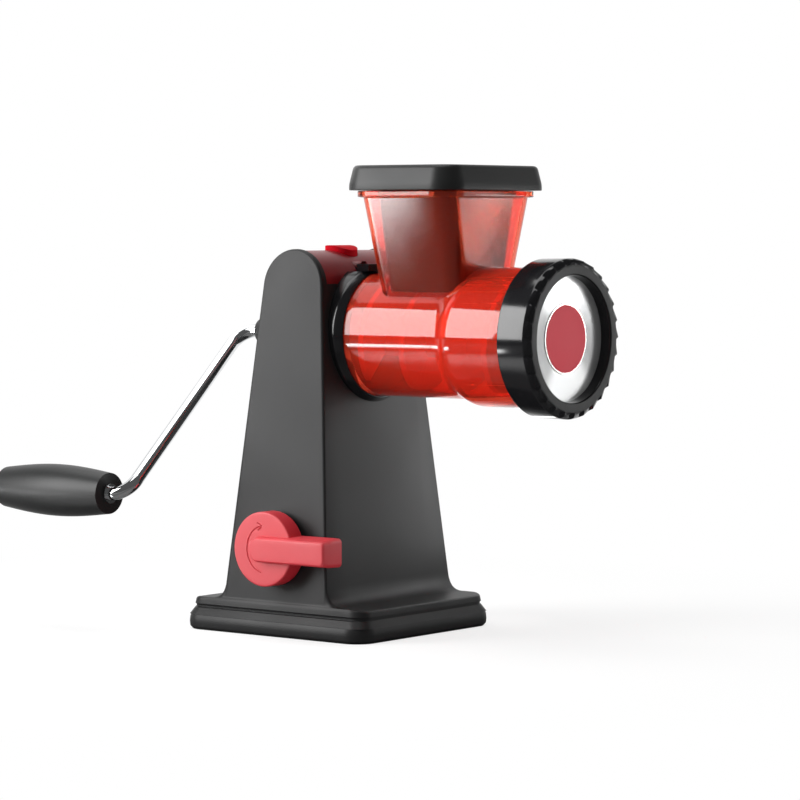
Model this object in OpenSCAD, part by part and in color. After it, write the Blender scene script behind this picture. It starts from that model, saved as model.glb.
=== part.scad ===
// Hand-cranked meat grinder on a suction stand.
// Millimetres, +Z up, +X along the barrel towards its outlet, -Y towards the suction lever.
// The origin is the centre of the stand's foot, on the table.

/* [Base] */
// Length of the lower base plate, along the barrel
base_l = 120; // [112:1:128]
// Width of the lower base plate
base_w = 113; // [106:1:122]
// Thickness of the lower base plate
base_t = 7.6; // [7:0.1:9]
// Corner radius of the lower base plate
base_r = 12; // [9:0.5:15]
// How far the plate's edge is drawn in at its top and bottom
edge_in = 1.6; // [0.8:0.1:2.2]
// Step from the plate in to the flange, front and rear
step_x = 2.85; // [2:0.05:4]
// Step from the plate in to the flange, at the sides
step_y = 3.65; // [2.5:0.05:5]
// Height of the flange above the plate
flange_t = 8.5; // [7.5:0.1:10]
// Corner radius of the flange
flange_r = 8; // [6:0.5:11]
// Rise of the flange's top towards the stand
flange_rise = 1.5; // [0.5:0.1:2]
// Distance of the base screws from the edges of the plate
screw_in = 12; // [11:0.5:14]
// Radius of the base screws
screw_r = 1.6; // [1.3:0.1:2]

/* [Stand] */
// Height of the arched top above the table
stand_h = 196.7; // [190:0.1:204]
// Ledge of the flange in front of the stand and behind it
ledge_x = 22.94; // [20:0.02:25]
// Ledge of the flange beside the side panels
ledge_y = 1; // [0.8:0.1:2]
// Radius of the arched top
arch_r = 19.465; // [18.6:0.005:20.4]
// Width of the stand at its top
top_w = 71.9; // [68:0.1:75]
// Thickness of the side panels at their top
cheek_t = 2.8; // [2:0.1:3.4]
// Wall thickness of the stand
wall = 2.6; // [2.2:0.1:3.2]
// Radius of the flare at the foot, front and rear
flare_x = 8; // [5:0.5:10]
// Radius of the flare at the foot, under the side panels
flare_y = 3; // [2:0.5:4]
// Height of the groove along the flange's sides
groove_z = 11.4; // [10.5:0.1:12.5]

/* [Top cover and release button] */
// Thickness of the cover
cover_t = 2.4; // [2:0.1:3]
// How far the cover lies below the edge of the side panels
cover_drop = 0.8; // [0.4:0.1:1.5]
// Radius of the release button
button_r = 8.4; // [7:0.1:9]
// Place of the button in front of the stand's middle
button_x = 2; // [1:0.1:3]
// How far the button stands out of the cover
button_out = 2.6; // [1.5:0.1:3.5]
// Travel of the button
button_travel = 2.5; // [1.5:0.1:2.8]
// Width of the latch bar
latch_w = 11; // [8:0.5:12]
// Thickness of the latch bar
latch_t = 3; // [2.5:0.1:3.5]
// Width of the latch's nose on the socket
nose_w = 26; // [22:0.5:30]
// Radius of the latch pin
latch_pin_r = 1.5; // [1.2:0.1:1.8]

/* [Barrel] */
// Depth of the drive axis below the top of the stand
axis_drop = 43.7; // [42:0.1:46]
// Outer radius of the barrel's tube
tube_r = 31.7; // [30.5:0.1:32.5]
// Wall thickness of the barrel's tube
tube_t = 2.4; // [2:0.1:3]
// Length of the tube from the socket to the head
tube_l = 66; // [62:0.5:72]
// Outer radius of the barrel's head
head_r = 35; // [34.6:0.1:36.5]
// Length of the head behind the ring nut
head_l = 35; // [30:0.5:40]
// Wall thickness of the head
head_t = 4.7; // [4.2:0.1:5]
// Length of the barrel's socket in front of the stand
socket_l = 7.25; // [6:0.25:9]
// Wall thickness of the barrel's socket
socket_t = 2.9; // [2.4:0.1:3.5]

/* [Hopper and pusher] */
// Distance of the hopper's middle from the socket
hopper_x = 41; // [39:0.5:43]
// Height of the hopper's rim above the drive axis
hopper_h = 73; // [66:0.5:80]
// Length of the hopper's mouth, along the barrel
mouth_l = 58; // [56:0.5:64]
// Width of the hopper's mouth
mouth_w = 74; // [66:0.5:80]
// Length of the hopper where it meets the barrel
throat_l = 52; // [50:0.5:54]
// Width of the hopper where it meets the barrel
throat_w = 50; // [46:0.5:52]
// Corner radius of the hopper
hopper_r = 10; // [8:0.5:12]
// Overhang of the hopper's rim
rim_out = 3; // [2:0.1:4]
// Thickness of the hopper's rim
rim_t = 3; // [2:0.1:4]
// Height of the pusher's cap
cap_h = 12.5; // [10:0.5:16]
// Overhang of the pusher's cap beyond the rim, at the foot of the cap
cap_out = 3; // [2:0.1:4]
// How far the cap draws in towards its top
cap_in = 2.4; // [1:0.1:4]
// Gap between the pusher and the hopper's wall at the mouth
pusher_gap = 2; // [1.5:0.1:2.5]
// Gap between the pusher's foot and the auger
pusher_rise = 5.9; // [5.4:0.1:9]

/* [Outlet] */
// Outer radius of the ring nut's front flange
nut_r = 40; // [39.5:0.1:42]
// Outer radius of the ring nut behind its flange
nut_body_r = 39.4; // [38.8:0.1:39.5]
// Length of the ring nut
nut_l = 19.5; // [18.5:0.1:22]
// Thickness of the ring nut's front lip
lip_t = 5.8; // [5:0.1:6.5]
// Radius of the ring nut's opening
outlet_r = 31.3; // [29:0.1:31.6]
// Number of grip notches round the ring nut
nut_notches = 24; // [18:1:30]
// Pitch of the ring nut's thread
thread_pitch = 4; // [3.6:0.1:4.4]
// Thickness of the grinding plate
plate_t = 4.2; // [3.5:0.1:4.6]
// Radius of the holes in the grinding plate
plate_hole_r = 2.4; // [1.5:0.1:2.6]
// Thickness of the front disc
disc_t = 1.4; // [0.8:0.1:1.8]
// Radius of the badge on the front disc
badge_r = 16.7; // [12:0.1:20]
// Width of the white rim round the badge
badge_rim_w = 0.9; // [0.6:0.1:2]

/* [Drive and auger] */
// Radius of the drive shaft
shaft_r = 7; // [6.2:0.1:7.6]
// Width across the flats of the shaft's hexagon in the auger
hex_w = 11; // [9:0.1:11.6]
// Radius of the auger's core
core_r = 11; // [10:0.1:13]
// Advance of the auger's flight in one turn
flight_pitch = 26; // [22:0.5:32]
// Axial thickness of the auger's flight at its rim
flight_t = 3.2; // [2.5:0.1:4]
// Thickness of the bearing bushes
bush_t = 3; // [2.4:0.1:3.6]
// Length of the bearing bushes
bush_l = 15; // [12:0.5:16]

/* [Crank] */
// Turn of the crank from upright, degrees
crank_turn = 132; // [0:1:359]
// Radius of the crank
crank_r = 122; // [112:1:135]
// Radius of the crank's rod
rod_r = 3.5; // [3.2:0.1:4]
// Distance of the crank's arm behind the stand, at the drive axis
arm_back = 44.25; // [42:0.25:52]
// Bend radius of the rod
bend_r = 10.5; // [9:0.5:13]
// Length of the grip
grip_l = 72; // [62:1:85]
// Radius of the grip at its middle
grip_r = 13.5; // [12.5:0.1:15]
// Radius of the grip at its ends
grip_end_r = 10.6; // [9.8:0.1:12]

/* [Suction lever] */
// Height of the lever's axis above the table
lever_z = 45; // [42:0.5:50]
// Radius of the lever's disc
lever_r = 19; // [16:0.5:21]
// Thickness of the lever's disc
lever_t = 10; // [8:0.5:12]
// Reach of the lever's arm
lever_reach = 43.5; // [36:0.5:48]
// Width of the lever's arm
lever_arm_w = 12.5; // [10:0.5:15]
// How far the arm stands out of the disc
lever_arm_out = 4.6; // [3:0.1:6]
// Radius of the lever's shaft
lever_shaft_r = 5; // [4.5:0.1:5.6]
// Least radius of the lifting cam
cam_r = 9; // [8.6:0.1:9.4]
// Lift of the cam over half a turn
cam_lift = 4; // [3:0.1:4.4]
// Thickness of the cam
cam_t = 8; // [6:0.5:9]
// Radius of the pull stem
stem_r = 4; // [3.5:0.1:4.5]
// Radius of the suction cup
cup_r = 46; // [42:0.5:47]

/* [Fits] */
// Running clearance of a shaft in its bore, on the radius
run_fit = 0.05; // [0.02:0.01:0.08]
// Clearance between pieces that slide past each other
slide_fit = 0.3; // [0.25:0.05:0.4]

/* [Hidden] */
$fn = 64;
over = 1;
corner_steps = 8;
arch_steps = 24;
table_gap = 0.1;
thin = 0.1;

// Base and stand
flange_l = base_l - 2 * step_x;
flange_w = base_w - 2 * step_y;
flange_top = base_t + flange_t;
foot_z = flange_top + flange_rise;
stand_l = flange_l - 2 * ledge_x;
stand_w = flange_w - 2 * ledge_y;
axis_z = stand_h - axis_drop;
arch_z = stand_h - arch_r;
stand_rise = arch_z - flange_top;
lean_x = acos(arch_r / norm([stand_l / 2, stand_rise])) - atan2(stand_rise, stand_l / 2);
lean_y = atan((stand_w - top_w) / 2 / (stand_h - flange_top));
function half_l(z) = stand_l / 2 - tan(lean_x) * (z - flange_top);
function half_w(z) = stand_w / 2 - tan(lean_y) * (z - flange_top);
seat_z = arch_z + arch_r * sin(lean_x);
face_x = half_l(axis_z);
cheek_y = top_w / 2 - cheek_t;
cover_w = 2 * cheek_y - slide_fit;
cheek_ledge = 2;
cheek_taper = 5;
groove_h = 1.3;
groove_depth = 1;
groove_end = 6;
band_z = 0.35 * base_t;
band_h = 0.3 * base_t;

// Base screws and the recess for the suction cup
screw_x = base_l / 2 - screw_in;
screw_y = base_w / 2 - screw_in;
screw_head_out = 2;
screw_head_r = screw_r + screw_head_out;
screw_head_t = 2.4;
screw_head_z = 0.6;
screw_boss_t = 2.9;
screw_boss_r = screw_r + screw_boss_t;
cup_room = 2;
cup_recess_r = cup_r + cup_room;
cup_recess_h = 5;
cup_hub_r = 9;
cup_hub_top = 10.5;
cup_skin = 2.4;
cup_lift = 2.2;
cup_rim_h = 3;
cup_rim_w = 2;
cup_play = 0.1;
stem_collar_t = 1.5;
stem_collar_out = 2.5;
stem_collar_r = stem_r + stem_collar_out;
hub_room = 1;
hub_room_r = cup_hub_r + hub_room;
hub_room_top = cup_hub_top + stem_collar_t + cam_lift + hub_room;
guide_t = 3;
guide_r = hub_room_r + guide_t;

// Top cover, button and latch
cover_r = arch_r - cover_drop;
pivot_ahead = 10;
pivot_x = button_x + pivot_ahead;
latch_rise = 5;
latch_z = seat_z + latch_rise;
latch_top = latch_z + latch_t;
pivot_t = 1.4;
pivot_r = latch_pin_r + pivot_t;
pivot_lift = 0.3;
pivot_z = latch_top - pivot_r + pivot_lift;
tail_back = 3;
latch_tail = button_x - tail_back;
ear_t = 3;
ear_gap = 0.4;
ear_y = latch_w / 2 + ear_gap;
stem_tip_w = 1.2;
stem_tip_h = 0.6;
well_gap = 0.7;
well_z = latch_top + well_gap;
well_floor = 1.5;
well_r = button_r + slide_fit;
well_t = 1.4;
button_stem_r = 2.2;
button_z = well_z + well_floor + button_travel + slide_fit;
spring_r = 3.9;
spring_wire_r = 0.4;
spring_turns = 3;
spring_deep = 3;
spring_top = button_z + spring_deep;
spring_play = 0.5;
spring_room = spring_r + spring_wire_r + spring_play;
window_rise = 3.2;

// Barrel's socket, barrel and hopper along the drive axis
socket_x = face_x + socket_l;
socket_bore_r = tube_r + slide_fit;
socket_r = socket_bore_r + socket_t;
socket_screw_d = (socket_bore_r + socket_t / 2) / sqrt(2);
socket_screw_r = 1;
socket_head_r = 2.2;
socket_head_t = 1.6;
socket_screw_end = 1;
barrel_x = face_x + socket_bore_r * tan(lean_x) + slide_fit;
rear_wall_t = 5.8;
bore_r = tube_r - tube_t;
bore_x = barrel_x + rear_wall_t;
head_x = socket_x + tube_l;
head_bore_r = head_r - head_t;
head_cone = 4;
nut_x = head_x + head_l;
nut_end = nut_x + nut_l;
lip_x = nut_end - lip_t;
disc_x = lip_x - disc_t - run_fit;
plate_x = disc_x - slide_fit - plate_t;
neck_end = plate_x - run_fit;
neck_step = 2;
neck_r = head_r - neck_step;
plate_out = 0.2;
plate_r = neck_r + plate_out;
nut_cavity_r = neck_r + neck_step;
thread_h = 1.5;
thread_root_w = 1.6;
thread_tip_w = 0.9;
thread_in = 1.4;
thread_out = 1;
thread_x = nut_x + thread_in;
thread_turns = (neck_end - thread_out - thread_x) / thread_pitch;
thread_steps = 32;
thread_sink = 0.5;
nut_cone = 2;
notch_out = 0.9;
notch_r = 2.6;
notch_short = 1.6;
notch_l = lip_t - notch_short;
notch_slant = 35;
nut_shift = 0.2;
hole_rings = 3;
ring_holes = 6;
hole_first_r = 10.6;
hole_step = 7.6;
hole_turn = 15;
badge_t = 0.6;
badge_rim_t = 0.4;
key_w = 5;
key_h = 2.4;
key_in = 0.4;
hopper_mid = socket_x + hopper_x;
rim_z = axis_z + hopper_h;
throat_rise = 22;
throat_z = axis_z + throat_rise;
mouth_z = rim_z - rim_t;
throat_deep = 12;
notch_fit = 0.4;

// Latch nose and tooth, measured from the socket's front
nose_back = 6.5;
nose_ahead = 1.5;
nose_gap = 0.7;
nose_t = 3.6;
tooth_back = 2.7;
tooth_ahead = 0.5;
tooth_deep = 2.8;
nose_x = socket_x - nose_back;
nose_end = socket_x + nose_ahead;
nose_z = axis_z + tube_r + nose_gap;
nose_top = nose_z + nose_t;
tooth_x = socket_x - tooth_back;
tooth_end = socket_x + tooth_ahead;
tooth_z = axis_z + tube_r - tooth_deep;

// Pusher
cap_z = rim_z + slide_fit;
cap_l = mouth_l + 2 * (rim_out + cap_out);
cap_w = mouth_w + 2 * (rim_out + cap_out);
cap_foot = 3;
cap_skin = 2.4;
cap_ceiling = cap_z + cap_h - cap_skin;
pusher_l = mouth_l - 2 * tube_t - 2 * pusher_gap;
pusher_slim = 5.2;
pusher_w = mouth_w - 2 * tube_t - 2 * pusher_gap - pusher_slim;
foot_more_l = 1;
foot_more_w = 5;
pusher_foot_l = throat_l - 2 * tube_t - 2 * pusher_gap + foot_more_l;
pusher_foot_w = throat_w - 2 * tube_t - 2 * pusher_gap + foot_more_w;
pusher_r = hopper_r - tube_t;
pusher_skin = 2.2;
plug_h = 4;
plug_gap = 1.2;

// Drive shaft, bushes and clips
bush_out_r = shaft_r + bush_t;
bush_flange_out = 3;
bush_flange_r = bush_out_r + bush_flange_out;
bush_flange_t = 2;
bush_set = 1.2;
boss_t = 3.4;
bush_in = face_x - bush_set - bush_l;
clip_t = 1.2;
clip_out = 2;
clip_r = shaft_r + clip_out;
clip_deep = 0.9;
clip_groove_r = shaft_r - clip_deep;
mouth_share = 0.7;
clip_mouth = mouth_share * clip_groove_r;
clip_x = bush_in - bush_flange_t - clip_t - slide_fit;
tail_w = 9;
tail_out = 3;
tail_x = -(face_x + tail_out);
tail_l = 12;
seal_w = 1.5;
seal_r = shaft_r + seal_w;
seal_t = 2.2;
seal_in = 2;
seal_x = barrel_x + seal_in;

// Auger and knife
flight_gap = 0.7;
flight_r = bore_r - flight_gap;
auger_gap = 1;
auger_x = bore_x + auger_gap;
socket_deep = 13;
knife_room = 11.6;
core_end = neck_end - knife_room;
flight_sink = 1.5;
flight_root = core_r - flight_sink;
flight_swell = 2;
flight_root_t = flight_t + flight_swell;
flight_inset = 0.5;
flight_end = auger_x + flight_root_t / 2 + flight_inset;
flight_x = core_end - flight_root_t / 2 - flight_inset;
flight_steps = 28;
stud_w = 7;
journal_r = 4;
knife_end = plate_x - slide_fit;
stud_end = plate_x - slide_fit / 2;
knife_hub_r = 8;
blade_t = 4;
blade_gap = 1.8;
blade_l = head_bore_r - blade_gap;
blade_deep = 6;

// Crank
hub_gap = 1.9;
hub_x = -(face_x + hub_gap);
hub_r = 10;
hub_l = 28;
hub_neck_r = 6.6;
hub_cone = 10;
hub_end = hub_x - hub_l;
rod_in = 12;
arm_x = -(face_x + arm_back);
screw_set_x = tail_x - tail_l / 2;
thumb_r = 2.4;
thumb_knob_r = 6.5;
thumb_knob_h = 7;
thumb_gap = 0.8;
grip_gap = 1.4;
grip_x = arm_x - bend_r - grip_gap;
grip_end = grip_x - grip_l;
grip_steps = 20;
grip_room_r = 7;
grip_room_l = 8;
axle_in = 4.4;
axle_end = grip_end + axle_in;
retainer_t = 1.2;
retainer_x = grip_end + grip_room_l - retainer_t - slide_fit / 2;
grip_cap_t = 3;
stop_t = 1;
stop_out = 1.6;
stop_r = rod_r + stop_out;

// Suction lever and lifting cam
lever_back = -(half_w(lever_z - lever_r) + slide_fit);
lever_front = lever_back - lever_t;
arm_front = lever_front - lever_arm_out;
lever_boss_t = 3;
lever_boss_r = lever_shaft_r + lever_boss_t;
lever_bush_t = 2.5;
lever_bush_r = lever_boss_r + lever_bush_t;
lever_bush_out = half_w(lever_z + lever_bush_r) - slide_fit;
lever_bush_l = 12;
lever_boss_out = 6;
lever_boss_end = lever_bush_l + lever_boss_out - lever_bush_out;
far_bush_r = lever_shaft_r + lever_bush_t;
far_bush_out = half_w(lever_z + far_bush_r) - wall;
far_bush_l = 10;
pin_r = 1.5;
pin_set = 0.4;
pin_in = 3;
lever_pin_y = lever_boss_end - pin_in;
cam_hub_l = 8;
cam_pin_y = (cam_t + cam_hub_l) / 2 + over;
cam_steps = 48;
cam_top_r = cam_r + cam_lift;
yoke_bar = 4;
yoke_side = 1;
yoke_t = cam_t + 2 * yoke_side;
yoke_play = 0.6;
yoke_x = cam_top_r + yoke_play;
yoke_gap = slide_fit + run_fit;
yoke_low = lever_z - cam_top_r - yoke_gap;
yoke_high = lever_z + cam_r + yoke_gap;
stem_foot_t = 1.2;
stem_foot_r = 7;
stem_foot_z = cup_lift - stem_foot_t - cup_play;
cup_flat_out = 3;
cup_flat_r = stem_foot_r + cup_flat_out;

// Points of an arc about a centre, from one angle to another
function arc_pts(cx, cy, r, a0, a1, n) =
    [for (i = [0 : n]) let (a = a0 + (a1 - a0) * i / n) [cx + r * cos(a), cy + r * sin(a)]];

// Outline with a left half that mirrors its right half
function both_sides(p) = concat(p, [for (i = [len(p) - 1 : -1 : 0]) [-p[i][0], p[i][1]]]);

// Outline of a rectangle with round corners
function round_pts(l, w, r) = concat(
    arc_pts(l / 2 - r, w / 2 - r, r, 0, 90, corner_steps),
    arc_pts(r - l / 2, w / 2 - r, r, 90, 180, corner_steps),
    arc_pts(r - l / 2, r - w / 2, r, 180, 270, corner_steps),
    arc_pts(l / 2 - r, r - w / 2, r, 270, 360, corner_steps));

// Outline of an arm from its axis to a round tip
function arm_pts(reach, w) = concat(
    arc_pts(reach - w / 2, 0, w / 2, -90, 90, 2 * corner_steps),
    arc_pts(0, 0, w / 2, 90, 270, 2 * corner_steps));

// Heart-shaped cam: its radius grows steadily from its top, round either side, to its foot
function cam_pts() = [for (i = [0 : cam_steps - 1])
    let (a = 360 * i / cam_steps, r = cam_r + cam_lift * (1 - abs(a - 180) / 180))
    [-r * sin(a), r * cos(a)]];

// Half-width of the stand's flare at a height above the flare's foot
function flare_pts(half, lean, r, z) =
    let (cz = z + r)
    arc_pts(half + r / cos(lean), cz, r, 270, 180 + lean, corner_steps);

// Slab with round corners, flat on z
module slab(l, w, r, z, h) {
    translate([0, 0, z]) linear_extrude(h) polygon(round_pts(l, w, r));
}

// Block between two corners
module block(low, high) {
    translate(low) cube(high - low);
}

// Cylinder along X on the drive axis
module rod_x(x0, x1, r) {
    translate([x0, 0, axis_z]) rotate([0, 90, 0]) cylinder(h = x1 - x0, r = r);
}

// Cone along X on the drive axis
module cone_x(x0, x1, r0, r1) {
    translate([x0, 0, axis_z]) rotate([0, 90, 0]) cylinder(h = x1 - x0, r1 = r0, r2 = r1);
}

// Ring along X on the drive axis
module ring_x(x0, x1, outer, inner) {
    difference() {
        rod_x(x0, x1, outer);
        rod_x(x0 - over, x1 + over, inner);
    }
}

// Cylinder along Y
module rod_y(x, z, y0, y1, r) {
    translate([x, y0, z]) rotate([-90, 0, 0]) cylinder(h = y1 - y0, r = r);
}

// Upright cylinder
module rod_z(x, y, z0, z1, r) {
    translate([x, y, z0]) cylinder(h = z1 - z0, r = r);
}

// Side outline in X and Z carried across Y
module across_y(pts, w) {
    rotate([90, 0, 0]) linear_extrude(w, center = true) polygon(pts);
}

// End outline in Y and Z carried along X
module along_x(pts, l) {
    rotate([90, 0, 90]) linear_extrude(l, center = true) polygon(pts);
}

// The crank's own frame: X along the drive axis, +Z along the crank's arm
module on_crank() {
    translate([0, 0, axis_z]) rotate([crank_turn, 0, 0]) children();
}

// Four places of the base screws
module at_base_screws() {
    for (sx = [-1, 1]) {
        for (sy = [-1, 1]) {
            translate([sx * screw_x, sy * screw_y, 0]) children();
        }
    }
}

// Four places round the socket's wall, each as its Y and Z
function socket_screw_at() = [for (sy = [-1, 1]) for (sz = [-1, 1])
    [sy * socket_screw_d, axis_z + sz * socket_screw_d]];

// Screw holes from the stand into the socket
module socket_screw_holes() {
    for (p = socket_screw_at()) {
        translate([0, p[0], p[1]]) rotate([0, 90, 0])
            cylinder(h = socket_x - socket_screw_end, r = socket_screw_r + run_fit);
    }
}

// Spiral ridge about X: its root and tip radii, their axial widths, its start, its turns and its phase
module spiral(root_r, tip_r, root_w, tip_w, x0, pitch, turns, steps, phase) {
    n = ceil(turns * steps);
    section = [[root_r, -root_w / 2], [tip_r, -tip_w / 2], [tip_r, tip_w / 2], [root_r, root_w / 2]];
    pts = [for (i = [0 : n]) for (s = section)
        let (t = turns * i / n, a = phase + 360 * t)
        [x0 + pitch * t + s[1], -s[0] * sin(a), axis_z + s[0] * cos(a)]];
    sides = [for (i = [0 : n - 1]) for (k = [0 : 3])
        let (p = 4 * i + k, q = 4 * i + (k + 1) % 4)
        each [[p, q, q + 4], [p, q + 4, p + 4]]];
    ends = [[2, 1, 0], [3, 2, 0], [4 * n, 4 * n + 1, 4 * n + 2], [4 * n, 4 * n + 2, 4 * n + 3]];
    inward = tip_r < root_r;
    polyhedron(points = pts, faces = [for (f = concat(sides, ends)) inward ? [f[0], f[2], f[1]] : f]);
}

// Outside of the stand: arched from the side, tapered from the front, on a round-cornered flange
module stand_form() {
    side = concat(
        [[flange_l / 2, base_t], [flange_l / 2, flange_top]],
        flare_pts(half_l(foot_z + flare_x), lean_x, flare_x, foot_z),
        arc_pts(0, arch_z, arch_r, lean_x, 90, arch_steps));
    end = concat(
        [[flange_w / 2 + flare_y, base_t]],
        flare_pts(half_w(flange_top + flare_y), lean_y, flare_y, flange_top),
        [[half_w(stand_h), stand_h]]);
    intersection() {
        across_y(both_sides(side), flange_w);
        along_x(both_sides(end), flange_l);
        slab(flange_l, flange_w, flange_r, base_t, stand_h);
    }
}

// Inside of the stand, one wall thickness in, narrower between the cheeks at the top
module stand_room() {
    roof = flange_top - wall;
    side = concat(
        [[flange_l / 2 - wall, base_t - over], [flange_l / 2 - wall, roof]],
        [[half_l(roof) - wall / cos(lean_x), roof]],
        arc_pts(0, arch_z, arch_r - wall, lean_x, 90, arch_steps));
    end = [[flange_w / 2 - wall, base_t - over], [flange_w / 2 - wall, roof],
        [half_w(roof) - wall / cos(lean_y), roof],
        [half_w(seat_z - cheek_taper) - wall / cos(lean_y), seat_z - cheek_taper],
        [cheek_y - cheek_ledge, seat_z - cheek_ledge], [cheek_y - cheek_ledge, stand_h]];
    intersection() {
        across_y(both_sides(side), flange_w);
        along_x(both_sides(end), flange_l);
        slab(flange_l - 2 * wall, flange_w - 2 * wall, flange_r - wall, 0, stand_h);
    }
}

module base_plate() {
    color("#2a2a2c") difference() {
        union() {
            hull() {
                slab(base_l - 2 * edge_in, base_w - 2 * edge_in, base_r - edge_in, 0, thin);
                slab(base_l, base_w, base_r, band_z, band_h);
                slab(base_l - edge_in, base_w - edge_in, base_r - edge_in / 2, base_t - thin, thin);
            }
            rod_z(0, 0, base_t - over, hub_room_top + guide_t, guide_r);
        }
        rod_z(0, 0, -over, cup_recess_h, cup_recess_r);
        rod_z(0, 0, 0, hub_room_top, hub_room_r);
        rod_z(0, 0, 0, hub_room_top + guide_t + over, stem_r + run_fit);
        at_base_screws() {
            rod_z(0, 0, -over, screw_head_z + screw_head_t, screw_head_r + slide_fit);
            rod_z(0, 0, 0, base_t + over, screw_r + slide_fit);
        }
    }
}

module base_screws() {
    color("#b9bcc0") at_base_screws() {
        rod_z(0, 0, screw_head_z, screw_head_z + screw_head_t, screw_head_r);
        rod_z(0, 0, screw_head_z, flange_top - wall, screw_r);
    }
}

module suction_cup() {
    color("#1c1c1c") rotate_extrude() polygon([
        [stem_r + run_fit, cup_lift], [cup_flat_r, cup_lift], [cup_r - cup_rim_w, table_gap],
        [cup_r, table_gap], [cup_r, cup_rim_h], [cup_hub_r, cup_lift + cup_skin],
        [cup_hub_r, cup_hub_top], [stem_r + run_fit, cup_hub_top]]);
}

module stand_shell() {
    color("#3b3b3d") difference() {
        union() {
            difference() {
                stand_form();
                stand_room();
            }
            intersection() {
                stand_form();
                union() {
                    rod_x(bush_in, face_x + socket_l, bush_out_r + boss_t);
                    rod_x(-face_x - socket_l, -bush_in, bush_out_r + boss_t);
                    rod_y(0, lever_z, -stand_w / 2, -lever_bush_out + lever_bush_l, lever_bush_r + boss_t);
                    rod_y(0, lever_z, far_bush_out - far_bush_l, stand_w / 2, far_bush_r + boss_t);
                    at_base_screws() {
                        rod_z(0, 0, base_t, flange_top - wall / 2, screw_boss_r);
                    }
                }
            }
        }
        block([-stand_l, -cheek_y, seat_z], [stand_l, cheek_y, stand_h + over]);
        rod_x(-face_x - socket_l, face_x + socket_l, bush_out_r + run_fit);
        rod_y(0, lever_z, -stand_w, 0, lever_bush_r + run_fit);
        rod_y(0, lever_z, 0, far_bush_out, far_bush_r + run_fit);
        at_base_screws() {
            rod_z(0, 0, base_t - over, flange_top - wall, screw_r + run_fit);
        }
        socket_screw_holes();
        for (s = [-1, 1]) {
            translate([0, s * flange_w / 2, groove_z]) cube(
                [flange_l - 2 * (flange_r + groove_end), 2 * groove_depth, groove_h], center = true);
        }
    }
}

module top_cover() {
    color("#a3101c") difference() {
        union() {
            intersection() {
                difference() {
                    rod_y(0, arch_z, -cover_w / 2, cover_w / 2, cover_r);
                    rod_y(0, arch_z, -cover_w, cover_w, cover_r - cover_t);
                }
                block([-stand_l, -cover_w, seat_z], [stand_l, cover_w, stand_h]);
            }
            intersection() {
                rod_y(0, arch_z, -cover_w / 2, cover_w / 2, cover_r - cover_t / 2);
                union() {
                    rod_z(button_x, 0, well_z, stand_h, well_r + well_t);
                    for (y = [-ear_y - ear_t, ear_y]) {
                        block([pivot_x - pivot_r, y, pivot_z - pivot_r],
                            [pivot_x + pivot_r, y + ear_t, stand_h]);
                    }
                }
            }
        }
        rod_z(button_x, 0, well_z + well_floor, stand_h + over, well_r);
        rod_z(button_x, 0, well_z - over, stand_h, button_stem_r + slide_fit);
        rod_y(pivot_x, pivot_z, -ear_y - ear_t - over, ear_y + ear_t + over, latch_pin_r + run_fit);
        block([button_x + well_r + well_t, -ear_y, latch_z - over],
            [stand_l, ear_y, latch_top + window_rise]);
    }
}

module release_button() {
    color("#d21424") difference() {
        union() {
            intersection() {
                rod_z(button_x, 0, button_z, stand_h + button_out, button_r);
                rod_y(0, arch_z, -cover_w / 2, cover_w / 2, cover_r + button_out);
            }
            rod_z(button_x, 0, latch_top + slide_fit + stem_tip_h, spring_top + over, button_stem_r);
            block([button_x - stem_tip_w / 2, -button_stem_r / 2, latch_top + slide_fit],
                [button_x + stem_tip_w / 2, button_stem_r / 2, spring_top]);
        }
        difference() {
            rod_z(button_x, 0, button_z - over, spring_top, spring_room);
            rod_z(button_x, 0, button_z - 2 * over, spring_top + over, button_stem_r);
        }
    }
}

module button_spring() {
    steps = 12;
    sides = 6;
    n = spring_turns * steps;
    low = well_z + well_floor + spring_wire_r + run_fit;
    rise = spring_top - spring_wire_r - run_fit - low;
    pts = [for (i = [0 : n]) for (k = [0 : sides - 1])
        let (a = 360 * i / steps, b = 360 * k / sides, r = spring_r + spring_wire_r * cos(b))
        [button_x + r * cos(a), r * sin(a), low + rise * i / n + spring_wire_r * sin(b)]];
    wraps = [for (i = [0 : n - 1]) for (k = [0 : sides - 1])
        let (p = sides * i + k, q = sides * i + (k + 1) % sides)
        each [[p, q, q + sides], [p, q + sides, p + sides]]];
    ends = [for (k = [1 : sides - 2]) each [[0, k + 1, k], [sides * n, sides * n + k, sides * n + k + 1]]];
    color("#c4c8cc") polyhedron(points = pts, faces = concat(wraps, ends));
}

module latch_pin() {
    color("#c4c8cc") rod_y(pivot_x, pivot_z, -ear_y - ear_t, ear_y + ear_t, latch_pin_r);
}

module latch() {
    color("#161617") difference() {
        union() {
            block([latch_tail, -latch_w / 2, latch_z], [nose_x + over, latch_w / 2, latch_top]);
            rod_y(pivot_x, pivot_z, -latch_w / 2, latch_w / 2, pivot_r);
            block([nose_x, -nose_w / 2, nose_z], [nose_end, nose_w / 2, nose_top]);
            block([nose_x, -latch_w / 2, latch_z], [nose_x + over, latch_w / 2, nose_top]);
            block([tooth_x, -latch_w / 2, tooth_z], [tooth_end, latch_w / 2, nose_top]);
        }
        rod_y(pivot_x, pivot_z, -latch_w, latch_w, latch_pin_r + run_fit);
    }
}

module barrel_socket() {
    slope = [[0, 0], [half_l(0), 0], [half_l(stand_h), stand_h], [0, stand_h]];
    color("#141415") difference() {
        ring_x(0, socket_x, socket_r, socket_bore_r);
        across_y(slope, stand_w);
        block([0, -nose_w / 2 - slide_fit, latch_z - over],
            [socket_x + over, nose_w / 2 + slide_fit, stand_h]);
        socket_screw_holes();
    }
}

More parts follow.
